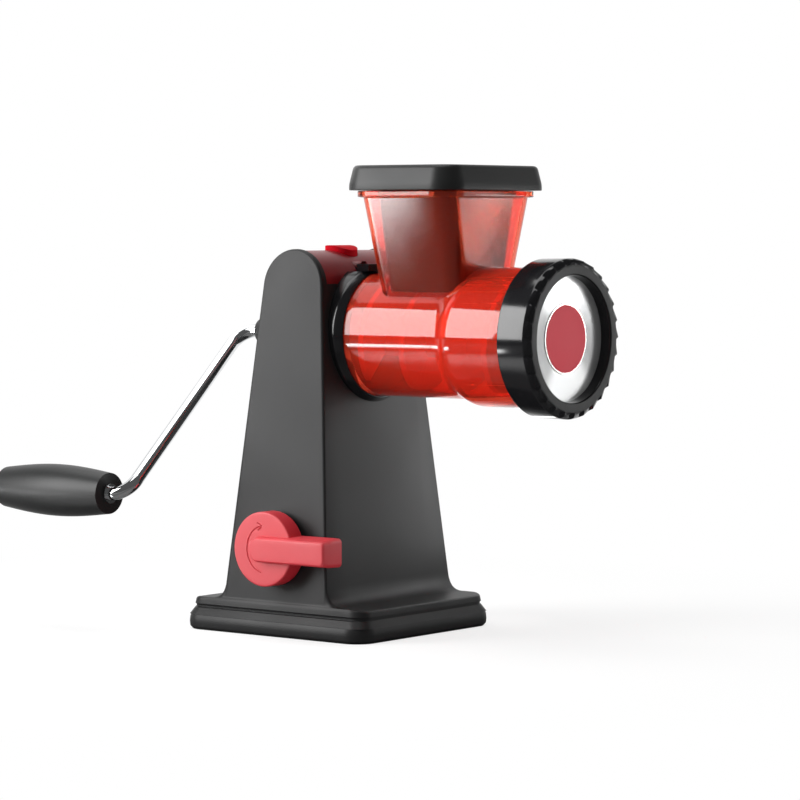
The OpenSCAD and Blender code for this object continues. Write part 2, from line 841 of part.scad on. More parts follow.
module socket_screws() {
    color("#b9bcc0") for (p = socket_screw_at()) {
        head_x = half_l(p[1] + socket_head_r) - wall / cos(lean_x);
        translate([head_x - socket_head_t, p[0], p[1]]) rotate([0, 90, 0])
            cylinder(h = socket_head_t, r = socket_head_r);
        translate([head_x - over, p[0], p[1]]) rotate([0, 90, 0])
            cylinder(h = socket_x - 2 * socket_screw_end - head_x + over, r = socket_screw_r);
    }
}

module front_bush() {
    color("#d8d2c0") difference() {
        union() {
            rod_x(bush_in, face_x - bush_set, bush_out_r);
            rod_x(bush_in - bush_flange_t, bush_in, bush_flange_r);
        }
        rod_x(bush_in - 2 * bush_flange_t, face_x, shaft_r + run_fit);
    }
}

module rear_bush() {
    color("#d8d2c0") mirror([1, 0, 0]) front_bush();
}

module lever_bushes() {
    color("#d8d2c0") {
        difference() {
            rod_y(0, lever_z, -lever_bush_out, -lever_bush_out + lever_bush_l, lever_bush_r);
            rod_y(0, lever_z, -stand_w, 0, lever_boss_r + run_fit);
        }
        difference() {
            rod_y(0, lever_z, far_bush_out - far_bush_l, far_bush_out, far_bush_r);
            rod_y(0, lever_z, 0, stand_w, lever_shaft_r + run_fit);
        }
    }
}

module barrel() {
    color("#e8321e", 0.6) difference() {
        union() {
            rod_x(barrel_x, head_x + over, tube_r);
            rod_x(head_x, nut_x, head_r);
            rod_x(nut_x - over, neck_end, neck_r);
            translate([hopper_mid, 0, 0]) {
                hull() {
                    slab(throat_l, throat_w, hopper_r, axis_z, throat_z - axis_z);
                    slab(mouth_l, mouth_w, hopper_r, mouth_z, rim_t);
                }
                slab(mouth_l + 2 * rim_out, mouth_w + 2 * rim_out, hopper_r + rim_out, mouth_z, rim_t);
            }
            spiral(neck_r - thread_sink, neck_r + thread_h, thread_root_w, thread_tip_w, thread_x,
                thread_pitch, thread_turns, thread_steps, 0);
            block([neck_end - over, -key_w / 2, axis_z + neck_r - key_h - key_in],
                [plate_x + plate_t - key_in, key_w / 2, axis_z + neck_r - key_in]);
        }
        rod_x(bore_x, head_x + over, bore_r);
        cone_x(head_x - head_cone, head_x, bore_r, head_bore_r);
        rod_x(head_x, neck_end + over, head_bore_r);
        rod_x(barrel_x - over, bore_x + over, seal_r + run_fit);
        translate([hopper_mid, 0, 0]) hull() {
            slab(throat_l - 2 * tube_t, throat_w - 2 * tube_t, hopper_r - tube_t,
                throat_z - throat_deep, throat_deep);
            slab(mouth_l - 2 * tube_t, mouth_w - 2 * tube_t, hopper_r - tube_t, rim_z, over);
        }
        block([tooth_x - notch_fit, -latch_w / 2 - notch_fit, tooth_z - notch_fit],
            [tooth_end + 2 * notch_fit, latch_w / 2 + notch_fit, axis_z + head_r]);
    }
}

module shaft_seal() {
    color("#202020") ring_x(seal_x, seal_x + seal_t, seal_r, shaft_r + run_fit);
}

module grinding_plate() {
    color("#c9ccd0") difference() {
        rod_x(plate_x, plate_x + plate_t, plate_r);
        rod_x(plate_x - over, plate_x + plate_t + over, journal_r + run_fit);
        for (ring = [1 : hole_rings]) {
            for (i = [0 : ring_holes * ring - 1]) {
                translate([plate_x - over, 0, axis_z])
                    rotate([360 * i / (ring_holes * ring) + hole_turn, 0, 0])
                    translate([0, 0, hole_first_r + hole_step * (ring - 1)]) rotate([0, 90, 0])
                    cylinder(h = plate_t + 2 * over, r = plate_hole_r);
            }
        }
        block([plate_x - over, -key_w / 2 - slide_fit / 2, axis_z + neck_r - key_h - 2 * key_in],
            [plate_x + plate_t + over, key_w / 2 + slide_fit / 2, axis_z + plate_r + over]);
    }
}

module drive_shaft() {
    color("#c4c8cc") difference() {
        union() {
            rod_x(tail_x, auger_x, shaft_r);
            translate([auger_x - over, 0, axis_z]) rotate([0, 90, 0])
                cylinder(h = socket_deep, r = hex_w / sqrt(3), $fn = 6);
            on_crank() translate([tail_x - tail_l, -tail_w / 2, -tail_w / 2])
                cube([tail_l + over, tail_w, tail_w]);
        }
        for (x = [clip_x, -clip_x - clip_t]) {
            ring_x(x - run_fit, x + clip_t + run_fit, clip_r, clip_groove_r);
        }
    }
}

module shaft_clips() {
    color("#8d9095") for (x = [clip_x, -clip_x - clip_t]) {
        difference() {
            ring_x(x, x + clip_t, clip_r, clip_groove_r + run_fit);
            block([x - over, -clip_mouth, axis_z], [x + clip_t + over, clip_mouth, axis_z + 2 * clip_r]);
        }
    }
}

module crank_hub() {
    color("#1d1d1f") difference() {
        union() {
            rod_x(hub_end + hub_cone, hub_x, hub_r);
            cone_x(hub_end, hub_end + hub_cone, hub_neck_r, hub_r);
        }
        on_crank() {
            translate([tail_x - tail_l - slide_fit, -tail_w / 2 - run_fit, -tail_w / 2 - run_fit])
                cube([tail_l + hub_r, tail_w + 2 * run_fit, tail_w + 2 * run_fit]);
            translate([screw_set_x, 0, -hub_r - over]) cylinder(h = hub_r + over, r = thumb_r + run_fit);
        }
        rod_x(tail_x, hub_x + over, shaft_r + run_fit);
        rod_x(hub_end - over, hub_end + rod_in, rod_r + run_fit);
    }
}

module hub_screw() {
    color("#1d1d1f") on_crank() translate([screw_set_x, 0, 0]) mirror([0, 0, 1]) {
        rod_z(0, 0, tail_w / 2 + run_fit, hub_r + thumb_gap, thumb_r);
        rod_z(0, 0, hub_r + thumb_gap, hub_r + thumb_gap + thumb_knob_h, thumb_knob_r);
    }
}

module crank_rod() {
    color("#d9dcdf") on_crank() {
        translate([arm_x + bend_r, 0, 0]) rotate([0, 90, 0])
            cylinder(h = hub_end + rod_in - arm_x - bend_r, r = rod_r);
        translate([arm_x + bend_r, 0, bend_r]) rotate([90, 0, 0]) rotate([0, 0, 180])
            rotate_extrude(angle = 90) translate([bend_r, 0]) circle(r = rod_r);
        translate([arm_x, 0, bend_r]) cylinder(h = crank_r - 2 * bend_r, r = rod_r);
        translate([arm_x - bend_r, 0, crank_r - bend_r]) rotate([90, 0, 0])
            rotate_extrude(angle = 90) translate([bend_r, 0]) circle(r = rod_r);
        translate([axle_end, 0, crank_r]) rotate([0, 90, 0])
            cylinder(h = arm_x - bend_r - axle_end, r = rod_r);
        translate([grip_x + slide_fit, 0, crank_r]) rotate([0, 90, 0]) cylinder(h = stop_t, r = stop_r);
    }
}

module grip_retainer() {
    color("#8d9095") on_crank() translate([retainer_x, 0, crank_r]) rotate([0, 90, 0]) difference() {
        cylinder(h = retainer_t, r = grip_room_r - 1);
        translate([0, 0, -over]) cylinder(h = retainer_t + 2 * over, r = rod_r + run_fit / 2);
    }
}

module grip() {
    swell = [for (i = [0 : grip_steps]) let (t = i / grip_steps)
        [grip_end_r + (grip_r - grip_end_r) * sin(180 * t), grip_l * t]];
    color("#1d1d1f") on_crank() translate([grip_end, 0, crank_r]) rotate([0, 90, 0]) difference() {
        rotate_extrude() polygon(concat([[0, 0]], swell, [[0, grip_l]]));
        translate([0, 0, -over]) cylinder(h = grip_l + 2 * over, r = rod_r + run_fit);
        translate([0, 0, -over]) cylinder(h = grip_room_l + over, r = grip_room_r);
    }
}

module grip_cap() {
    color("#b3121f") on_crank() translate([grip_end, 0, crank_r]) rotate([0, 90, 0])
        cylinder(h = grip_cap_t, r = grip_room_r - run_fit);
}

module auger() {
    color("#e9e6df") difference() {
        union() {
            rod_x(auger_x, core_end, core_r);
            spiral(flight_root, flight_r, flight_root_t, flight_t, flight_x, -flight_pitch,
                (flight_x - flight_end) / flight_pitch, flight_steps, 0);
            translate([core_end - over, -stud_w / 2, axis_z - stud_w / 2])
                cube([stud_end - core_end + over, stud_w, stud_w]);
            rod_x(stud_end - thin, plate_x + plate_t - slide_fit, journal_r);
        }
        translate([auger_x - over, 0, axis_z]) rotate([0, 90, 0])
            cylinder(h = socket_deep + over, r = hex_w / sqrt(3) + run_fit, $fn = 6);
    }
}

module knife() {
    color("#c9ccd0") difference() {
        union() {
            rod_x(core_end + slide_fit, knife_end, knife_hub_r);
            for (a = [0 : 90 : 270]) {
                translate([knife_end - blade_deep, 0, axis_z]) rotate([a, 0, 0])
                    translate([0, -blade_t / 2, 0]) cube([blade_deep, blade_t, blade_l]);
            }
        }
        translate([core_end, -stud_w / 2 - run_fit, axis_z - stud_w / 2 - run_fit])
            cube([plate_x - core_end + over, stud_w + 2 * run_fit, stud_w + 2 * run_fit]);
    }
}

module lever() {
    color("#d3202e") difference() {
        union() {
            rod_y(0, lever_z, lever_front, lever_back, lever_r);
            translate([0, lever_back, lever_z]) rotate([90, 0, 0])
                linear_extrude(lever_back - arm_front) polygon(arm_pts(lever_reach, lever_arm_w));
            rod_y(0, lever_z, lever_front + over, lever_boss_end, lever_boss_r);
        }
        rod_y(0, lever_z, lever_front + lever_t / 2, 0, lever_shaft_r + run_fit);
        rod_z(0, lever_pin_y, lever_z - lever_r, lever_z + lever_r, pin_r + run_fit);
    }
}

module lever_shaft() {
    color("#c4c8cc") difference() {
        rod_y(0, lever_z, lever_front + lever_t / 2 + slide_fit, far_bush_out - slide_fit, lever_shaft_r);
        for (y = [lever_pin_y, cam_pin_y]) {
            rod_z(0, y, lever_z - lever_r, lever_z + lever_r, pin_r + run_fit);
        }
    }
}

module lever_cam() {
    color("#e9e6df") difference() {
        union() {
            translate([0, 0, lever_z]) across_y(cam_pts(), cam_t);
            rod_y(0, lever_z, 0, cam_t / 2 + cam_hub_l + over, lever_boss_r);
        }
        rod_y(0, lever_z, -stand_w, stand_w, lever_shaft_r + run_fit);
        rod_z(0, cam_pin_y, lever_z - lever_r, lever_z + lever_r, pin_r + run_fit);
    }
}

module lever_pins() {
    color("#8d9095") for (y = [lever_pin_y, cam_pin_y]) {
        rod_z(0, y, lever_z - lever_boss_r + pin_set, lever_z + lever_boss_r - pin_set, pin_r);
    }
}

module pull_yoke() {
    color("#8d9095") {
        difference() {
            block([-yoke_x - yoke_bar, -yoke_t / 2, yoke_low - yoke_bar],
                [yoke_x + yoke_bar, yoke_t / 2, yoke_high + yoke_bar]);
            block([-yoke_x, -yoke_t, yoke_low], [yoke_x, yoke_t, yoke_high]);
        }
        rod_z(0, 0, stem_foot_z + stem_foot_t, yoke_low - yoke_bar + over, stem_r);
        rod_z(0, 0, cup_hub_top + cup_play, cup_hub_top + stem_collar_t, stem_collar_r);
    }
}

module stem_foot() {
    color("#8d9095") rod_z(0, 0, stem_foot_z, stem_foot_z + stem_foot_t, stem_foot_r);
}

module pusher_cap() {
    color("#242426") translate([hopper_mid, 0, 0]) {
        difference() {
            hull() {
                slab(cap_l, cap_w, hopper_r + rim_out, cap_z, cap_foot);
                slab(cap_l - 2 * cap_in, cap_w - 2 * cap_in, hopper_r, cap_z + cap_h - thin, thin);
            }
            slab(cap_l - 2 * (cap_in + cap_skin), cap_w - 2 * (cap_in + cap_skin), hopper_r - cap_in,
                cap_z - over, cap_ceiling - cap_z + over);
        }
        difference() {
            slab(pusher_l - 2 * (pusher_skin + plug_gap), pusher_w - 2 * (pusher_skin + plug_gap),
                pusher_r - pusher_skin, cap_ceiling - plug_h, plug_h + cap_skin / 2);
            slab(pusher_l - 2 * (2 * pusher_skin + plug_gap), pusher_w - 2 * (2 * pusher_skin + plug_gap),
                pusher_r - pusher_skin, cap_ceiling - plug_h - over, plug_h + over);
        }
    }
}

module pusher_body() {
    foot = axis_z + flight_r + pusher_rise;
    color("#29292b") translate([hopper_mid, 0, 0]) difference() {
        hull() {
            slab(pusher_foot_l, pusher_foot_w, pusher_r, foot, thin);
            slab(pusher_l, pusher_w, pusher_r, cap_ceiling - over, over);
        }
        hull() {
            slab(pusher_foot_l - 2 * pusher_skin, pusher_foot_w - 2 * pusher_skin, pusher_r - pusher_skin,
                foot + pusher_skin, thin);
            slab(pusher_l - 2 * pusher_skin, pusher_w - 2 * pusher_skin, pusher_r - pusher_skin,
                cap_ceiling, over);
        }
    }
}

module front_disc() {
    color("#d5d8da") rod_x(disc_x, disc_x + disc_t, plate_r);
}

module disc_badge() {
    color("#b8323f") rod_x(disc_x + disc_t, disc_x + disc_t + badge_t, badge_r);
}

module badge_rim() {
    color("#f4f2ee") ring_x(disc_x + disc_t, disc_x + disc_t + badge_rim_t, badge_r + badge_rim_w, badge_r);
}

module ring_nut() {
    color("#101011") {
        difference() {
            union() {
                rod_x(nut_x + nut_shift, nut_end, nut_body_r);
                cone_x(lip_x - nut_cone, lip_x, nut_body_r, nut_r);
                rod_x(lip_x, nut_end, nut_r);
            }
            rod_x(nut_x, lip_x, nut_cavity_r);
            rod_x(lip_x - over, nut_end + over, outlet_r);
            for (i = [0 : nut_notches - 1]) {
                translate([nut_end, 0, axis_z]) rotate([360 * i / nut_notches, 0, 0])
                    translate([0, 0, nut_r + notch_out]) rotate([0, 0, notch_slant]) rotate([0, 90, 0])
                    cylinder(h = 2 * notch_l, r = notch_r, center = true);
            }
        }
        spiral(nut_cavity_r + thread_sink, nut_cavity_r - thread_h, thread_root_w, thread_tip_w, thread_x,
            thread_pitch, thread_turns, thread_steps, 180);
    }
}

base_plate();
base_screws();
suction_cup();
stand_shell();
top_cover();
button_spring();
latch_pin();
barrel_socket();
socket_screws();
front_bush();
rear_bush();
lever_bushes();
barrel();
shaft_seal();
grinding_plate();
drive_shaft();
shaft_clips();
crank_hub();
hub_screw();
crank_rod();
grip_retainer();
auger();
knife();
grip();
grip_cap();
lever();
lever_shaft();
lever_cam();
lever_pins();
pull_yoke();
stem_foot();
release_button();
latch();
pusher_cap();
pusher_body();
front_disc();
disc_badge();
badge_rim();
ring_nut();
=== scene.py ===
import math
import bmesh
import bpy
import numpy as np
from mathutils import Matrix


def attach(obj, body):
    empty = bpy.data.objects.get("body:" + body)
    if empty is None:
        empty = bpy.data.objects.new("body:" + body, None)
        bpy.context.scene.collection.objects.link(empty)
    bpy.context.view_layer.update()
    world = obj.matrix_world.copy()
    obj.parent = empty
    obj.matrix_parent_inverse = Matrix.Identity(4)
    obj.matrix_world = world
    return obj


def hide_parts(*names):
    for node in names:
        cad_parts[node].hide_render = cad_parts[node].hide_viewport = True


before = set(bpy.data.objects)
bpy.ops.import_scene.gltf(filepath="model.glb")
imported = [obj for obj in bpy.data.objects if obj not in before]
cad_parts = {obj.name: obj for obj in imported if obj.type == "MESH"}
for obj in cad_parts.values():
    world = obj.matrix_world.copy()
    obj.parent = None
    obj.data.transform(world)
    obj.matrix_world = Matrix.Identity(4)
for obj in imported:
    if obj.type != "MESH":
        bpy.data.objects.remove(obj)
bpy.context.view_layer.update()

# Foot plate
# Black moulded plate with a half-round edge, the grinder's lowest piece. Its underside has a round
# recess for the suction cup and four sunk holes for the screws that hold the stand.
MM = 0.001
PLATE_HALF_L, PLATE_HALF_W, PLATE_R = 60.0, 56.5, 12.0
PLATE_EDGE = [(1.6, 0.0), (0.25, 1.5), (0.0, 3.8), (0.25, 6.4), (0.8, 7.6)]
CUP_ROOM_R, CUP_ROOM_TOP, HUB_ROOM_R, HUB_ROOM_TOP, CUT_PAST = 48.0, 5.0, 10.0, 9.0, 1.0
FOOT_SCREW_X, FOOT_SCREW_Y, FOOT_SCREW_R, FOOT_SCREW_TOP = 48.0, 44.5, 3.9, 3.0
PLATE_STEPS, SCREW_ROOM_STEPS = 12, 32


def tiles(rows, cols, close_rows, close_cols):
    """Quads of a grid: each joins a point, the next in its row and the two in the row after; a closed
    direction wraps round to its start."""
    r = np.arange(rows if close_rows else rows - 1)[:, None]
    c = np.arange(cols if close_cols else cols - 1)[None, :]
    r2, c2 = (r + 1) % rows, (c + 1) % cols
    quads = np.broadcast_arrays(r * cols + c, r * cols + c2, r2 * cols + c2, r2 * cols + c)
    return np.stack(quads, -1).reshape(-1, 4)


def cast(name, material, *sheets, crease=32, merge=2e-6):
    """One mesh from grids of points in millimetres, each given with whether its rows and its columns
    close. Points that meet are merged, and the faces are turned outwards."""
    points, faces, start = [], [], 0
    for grid, close_rows, close_cols in sheets:
        rows, cols = grid.shape[:2]
        points.append(grid.reshape(-1, 3) * MM)
        faces.append(tiles(rows, cols, close_rows, close_cols) + start)
        start += rows * cols
    mesh = bpy.data.meshes.new(name)
    mesh.from_pydata(np.concatenate(points).tolist(), [], np.concatenate(faces).tolist())
    shell = bmesh.new()
    shell.from_mesh(mesh)
    bmesh.ops.remove_doubles(shell, verts=shell.verts, dist=merge)
    bmesh.ops.recalc_face_normals(shell, faces=shell.faces)
    shell.to_mesh(mesh)
    shell.free()
    mesh.shade_smooth()
    mesh.set_sharp_from_angle(angle=math.radians(crease))
    mesh.materials.append(material)
    piece = bpy.data.objects.new(name, mesh)
    bpy.context.scene.collection.objects.link(piece)
    return piece


def seat(piece, body, slot, *nodes):
    """Puts a piece on its body and hides the solids that it stands for; the finish's slot is not used."""
    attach(piece, body)
    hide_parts(*nodes)


def corner_rings(half_l, half_w, radius, z, middle=0.0, steps=8):
    """Level rings of a rounded rectangle, one for each entry: a quarter circle round each corner's
    centre, which stands radius in from the two sides."""
    half_l, half_w, radius, z, middle = (
        np.asarray(v, float).reshape(-1, 1) if np.ndim(v) < 2 else v
        for v in (half_l, half_w, radius, z, middle))
    quarter = np.linspace(0, math.pi / 2, steps)
    turn = (quarter + math.pi / 2 * np.arange(4)[:, None]).ravel()
    side_x, side_y = np.repeat([1, -1, -1, 1], steps), np.repeat([1, 1, -1, -1], steps)
    x = middle + side_x * (half_l - radius) + radius * np.cos(turn)
    y = side_y * (half_w - radius) + radius * np.sin(turn)
    return np.stack(np.broadcast_arrays(x, y, z), -1)


def capped(rings):
    """A stack of rings with flat ends: the middle of the first and of the last ring, as a ring of no
    size, goes before and after them."""
    ends = rings[[0, -1]].mean(axis=1, keepdims=True) + 0 * rings[[0, -1]]
    return np.concatenate([ends[:1], rings, ends[1:]])


def turned(profile, turns=96, origin=(0.0, 0.0, 0.0), axis="z"):
    """A profile of (distance from the axis, place along it) carried once round an axis through
    origin: distance times cosine and sine of the turn, and the place along unchanged."""
    profile = np.asarray(profile, float)
    turn = np.linspace(0, 2 * math.pi, turns, endpoint=False)
    u, v = profile[:, :1] * np.cos(turn), profile[:, :1] * np.sin(turn)
    along = profile[:, 1:] + 0 * turn
    order = {"x": (along, u, v), "y": (v, along, u), "z": (u, v, along)}[axis]
    return np.stack(order, -1) + np.asarray(origin, float)


def carve(piece, tool, how="DIFFERENCE", crease=32):
    """Cuts a closed tool out of a closed piece, or joins it on, and removes the tool."""
    cut = piece.modifiers.new("carve", "BOOLEAN")
    cut.operation, cut.solver, cut.object, cut.material_mode = how, "EXACT", tool, "TRANSFER"
    bpy.context.view_layer.update()
    mesh = bpy.data.meshes.new_from_object(piece.evaluated_get(bpy.context.evaluated_depsgraph_get()))
    piece.modifiers.clear()
    piece.data = mesh
    bpy.data.objects.remove(tool)
    mesh.shade_smooth()
    mesh.set_sharp_from_angle(angle=math.radians(crease))


def put(tree, kind, values=(), **settings):
    """A node of that kind with its settings, and its inputs set by name or joined to a socket."""
    node = tree.nodes.new(kind)
    for key, value in settings.items():
        setattr(node, key, value)
    for key, value in values:
        if isinstance(value, bpy.types.NodeSocket):
            tree.links.new(value, node.inputs[key])
        else:
            node.inputs[key].default_value = value
    return node


def plus(tree, a, b, c):
    """The value a times b, and c added."""
    return put(tree, "ShaderNodeMath", ((0, a), (1, b), (2, c)), operation="MULTIPLY_ADD").outputs[0]


FLOAT, COLOR = "NodeSocketFloat", "NodeSocketColor"


def finish_group(name, **extra):
    """A shader node group for a finish, with a colour, the middle of its roughness, how far its tone and
    its roughness swing, the depth of its relief and extra values as inputs. Returns the group, what it
    is given, what it makes, and the place on the piece."""
    group = bpy.data.node_groups.new(name, "ShaderNodeTree")
    inputs = dict(Color=COLOR, Tone=FLOAT, Roughness=FLOAT, Spread=FLOAT, Depth=FLOAT, **extra)
    outputs = dict(Color=COLOR, Roughness=FLOAT, Height=FLOAT)
    for way, sockets in (("INPUT", inputs), ("OUTPUT", outputs)):
        for label, kind in sockets.items():
            group.interface.new_socket(label, in_out=way, socket_type=kind)
    given, made = group.nodes.new("NodeGroupInput").outputs, group.nodes.new("NodeGroupOutput").inputs
    return group, given, made, put(group, "ShaderNodeTexCoord").outputs["Object"]


def swung(group, value, low, high, start=-1.0):
    """A value carried from the range low to high to the range start to 1."""
    return put(group, "ShaderNodeMapRange", (("Value", value), ("From Min", low), ("From Max", high),
                                             ("To Min", start), ("To Max", 1.0))).outputs[0]


def end_finish(group, given, made, swing, relief, painted_shade=None):
    """Ends a finish's group: the colour's value is 1 plus the swing times the tone, less any painted shade;
    the roughness is its middle plus the swing times the spread; the height is the relief times the depth."""
    value = plus(group, swing, given["Tone"], 1.0)
    if painted_shade is not None:
        value = plus(group, painted_shade, -1.0, value)
    tone = put(group, "ShaderNodeHueSaturation", (("Value", value), ("Color", given["Color"])))
    group.links.new(tone.outputs[0], made["Color"])
    group.links.new(plus(group, swing, given["Spread"], given["Roughness"]), made["Roughness"])
    group.links.new(plus(group, relief, given["Depth"], 0.0), made["Height"])


# Moulded grain: the fine etched texture of a mould, with a slow change of tone and of gloss.
grain, given, made, spot = finish_group("moulded_grain", Grain=FLOAT)
etch = put(grain, "ShaderNodeTexNoise", (("Vector", spot), ("Scale", given["Grain"]), ("Detail", 2.0)))
cloud = put(grain, "ShaderNodeTexNoise", (("Vector", spot), ("Scale", 28.0), ("Detail", 4.0)))
end_finish(grain, given, made, swung(grain, cloud.outputs["Fac"], 0.3, 0.7), etch.outputs["Fac"])


def finished(name, group, values, **constants):
    """A material whose colour, gloss and relief come from a group with its own values; what is the
    same all over is set on the shader itself."""
    material = bpy.data.materials.new(name)
    material.use_nodes = True
    tree = material.node_tree
    shader = tree.nodes["Principled BSDF"]
    for key, value in constants.items():
        shader.inputs[key.replace("_", " ")].default_value = value
    node = put(tree, "ShaderNodeGroup", values.items(), node_tree=group).outputs
    bump = put(tree, "ShaderNodeBump", (("Strength", 1.0), ("Distance", MM), ("Height", node["Height"])))
    tree.links.new(node["Color"], shader.inputs["Base Color"])
    tree.links.new(node["Roughness"], shader.inputs["Roughness"])
    tree.links.new(bump.outputs[0], shader.inputs["Normal"])
    return material


stand_black = finished("stand_black", grain, dict(
    Color=(0.012, 0.012, 0.0125, 1), Tone=0.08, Roughness=0.47, Spread=0.03, Grain=1500.0, Depth=0.012),
    Specular_IOR_Level=0.32)

plate_in, plate_z = np.array(PLATE_EDGE).T
foot_plate = cast("foot_plate", stand_black, (capped(corner_rings(
    PLATE_HALF_L - plate_in, PLATE_HALF_W - plate_in, PLATE_R - plate_in, plate_z,
    steps=PLATE_STEPS)), False, True))
carve(foot_plate, cast("cup_room", stand_black, (turned(
    [(0, -CUT_PAST), (CUP_ROOM_R, -CUT_PAST), (CUP_ROOM_R, CUP_ROOM_TOP), (HUB_ROOM_R, CUP_ROOM_TOP),
     (HUB_ROOM_R, HUB_ROOM_TOP), (0, HUB_ROOM_TOP)]), False, True)))
for side_x, side_y in ((1, 1), (1, -1), (-1, 1), (-1, -1)):
    carve(foot_plate, cast("screw_room", stand_black, (turned(
        [(0, -CUT_PAST), (FOOT_SCREW_R, -CUT_PAST), (FOOT_SCREW_R, FOOT_SCREW_TOP), (0, FOOT_SCREW_TOP)],
        SCREW_ROOM_STEPS, (side_x * FOOT_SCREW_X, side_y * FOOT_SCREW_Y, 0)), False, True)))
seat(foot_plate, "stand", "stand_black", "base_plate")

# Foot screws, lifting stem and suction cup
# Steel screws from below, the steel frame and stem that pull the cup, and a moulded rubber cup in
# the plate's recess. Their solids have the right shape and get their finish here.


def dress(material, *nodes):
    """Gives solids their finish."""
    for node in nodes:
        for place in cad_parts[node].material_slots:
            place.material = material


# Machined lines: short scratches along one direction, with a slow change of gloss.
lines, given, made, spot = finish_group("machined_lines", Stretch="NodeSocketVector")
drawn = put(lines, "ShaderNodeVectorMath", ((0, spot), (1, given["Stretch"])), operation="MULTIPLY")
streak = put(lines, "ShaderNodeTexNoise", (("Vector", drawn.outputs[0]), ("Scale", 2600.0), ("Detail", 3.0)))
end_finish(lines, given, made, swung(lines, streak.outputs["Fac"], 0.3, 0.7), streak.outputs["Fac"])

turned_steel = finished("turned_steel", lines, dict(
    Color=(0.56, 0.57, 0.58, 1), Tone=0.05, Roughness=0.3, Spread=0.06, Depth=0.004,
    Stretch=(1.0, 0.06, 0.06)), Metallic=1.0)
rubber = finished("cup_rubber", grain, dict(
    Color=(0.022, 0.022, 0.023, 1), Tone=0.15, Roughness=0.72, Spread=0.08, Grain=2500.0, Depth=0.02))
dress(turned_steel, "base_screws", "pull_yoke", "stem_foot")
dress(rubber, "suction_cup")

# Stand
# One black moulding with a fine matt grain: a flange with a groove along its sides, a flare and a
# tower that leans in to two arched cheeks. The foot screws hold it on the plate.
FLANGE_HALF_L, FLANGE_HALF_W, FLANGE_R = 57.15, 52.85, 8.0
FLANGE_LOW, FLANGE_TOP, FLANGE_RISE = 7.6, 16.1, 17.6
TOWER_FOOT_L, TOWER_FOOT_W, TOWER_EDGE = 34.21, 51.85, 1.3
TOWER_LEAN_L, TOWER_LEAN_W = math.tan(math.radians(5.2)), math.tan(math.radians(5.031))
GROOVE_LOW, GROOVE_HIGH, GROOVE_LIP, GROOVE_DEEP = 11.2, 12.9, 0.3, 1.0
FLANGE_SPLAY, FLANGE_DRAFT, FRONT_FLARE, SIDE_FLARE = 2.0, 0.5, 9.0, 3.0
SEAT_Z, ARCH_R, ARCH_Z, CHEEK_IN = 179.0, 19.465, 177.235, 33.15
FLANGE_EASE, EDGE_STEPS, ARCH_ROWS = [0.2, 0.2, 0.2, 0.4, 1.2], 9, 40


def eased(line, ease, steps=6, limit=0.49):
    """A line of points with its inner corners rounded: each gives way to a quadratic curve that
    leaves the line ease before the corner and joins it ease after, or the limit times the
    shorter side where that is less."""
    line = np.asarray(line, float)
    before, corner, after = line[:-2], line[1:-1], line[2:]
    back = np.linalg.norm(before - corner, axis=1, keepdims=True)
    on = np.linalg.norm(after - corner, axis=1, keepdims=True)
    cut = np.minimum(np.broadcast_to(ease, len(corner))[:, None], limit * np.minimum(back, on))
    start, end = corner + (before - corner) / back * cut, corner + (after - corner) / on * cut
    s = np.linspace(0, 1, steps)[:, None]
    curve = (1 - s) ** 2 * start[:, None] + 2 * s * (1 - s) * corner[:, None] + s ** 2 * end[:, None]
    return np.concatenate([line[:1], curve.reshape(-1, line.shape[1]), line[-1:]])


def tower_half_l(z):
    """Half length of the tower at a height, along its straight lean."""
    return TOWER_FOOT_L - TOWER_LEAN_L * (z - FLANGE_TOP)


def tower_half_w(z):
    """Half width of the tower at a height, along its straight lean."""
    return TOWER_FOOT_W - TOWER_LEAN_W * (z - FLANGE_TOP)


def stand_profile(half, groove, foot, flare, top):
    """Half size against height from the flange's sloped foot, past the groove, over the rounded edge
    and up the flare to the seat."""
    return eased([(half + FLANGE_SPLAY, FLANGE_LOW), (half, GROOVE_LOW),
                  (half - groove, GROOVE_LOW + GROOVE_LIP), (half - groove, GROOVE_HIGH - GROOVE_LIP),
                  (half, GROOVE_HIGH), (half - FLANGE_DRAFT, FLANGE_TOP), (foot, FLANGE_RISE), (top, SEAT_Z)],
                 [*FLANGE_EASE, flare], steps=9)


# The front profile rules the faces across the barrel, the side profile the faces along it, and each
# corner turns from one to the other; two straight columns on each face mark the cheeks' inner faces.
front_line = stand_profile(
    FLANGE_HALF_L, 0.0, tower_half_l(FLANGE_RISE), FRONT_FLARE, tower_half_l(SEAT_Z))
side_line = stand_profile(
    FLANGE_HALF_W, GROOVE_DEEP, tower_half_w(FLANGE_RISE), SIDE_FLARE, tower_half_w(SEAT_Z))
half_l, half_w = front_line[:, :1], side_line[:, :1]
edge = TOWER_EDGE + (FLANGE_R - TOWER_EDGE) * np.clip(
    (half_l - TOWER_FOOT_L) / (FLANGE_HALF_L - TOWER_FOOT_L), 0, 1)
quarter = np.linspace(0, math.pi / 2, EDGE_STEPS)
turn = quarter + math.pi / 2 * np.arange(4)[:, None]
sign_x, sign_y = np.array([[1], [-1], [-1], [1]]), np.array([[1], [1], [-1], [-1]])
corner_x = (sign_x * (half_l[..., None] - edge[..., None]) + edge[..., None] * np.cos(turn))
corner_y = (sign_y * (half_w[..., None] - edge[..., None]) + edge[..., None] * np.sin(turn))
share = np.cos(turn) ** 2
corner_z = front_line[:, 1:, None] * share + side_line[:, 1:, None] * (1 - share)
corners = np.stack([corner_x, corner_y, corner_z], -1)


def cheek_mark(x_side, y_side):
    """The column of points on a front or rear face in line with a cheek's inner face."""
    return np.stack(np.broadcast_arrays(x_side * half_l, y_side * CHEEK_IN, front_line[:, 1:]), -1)


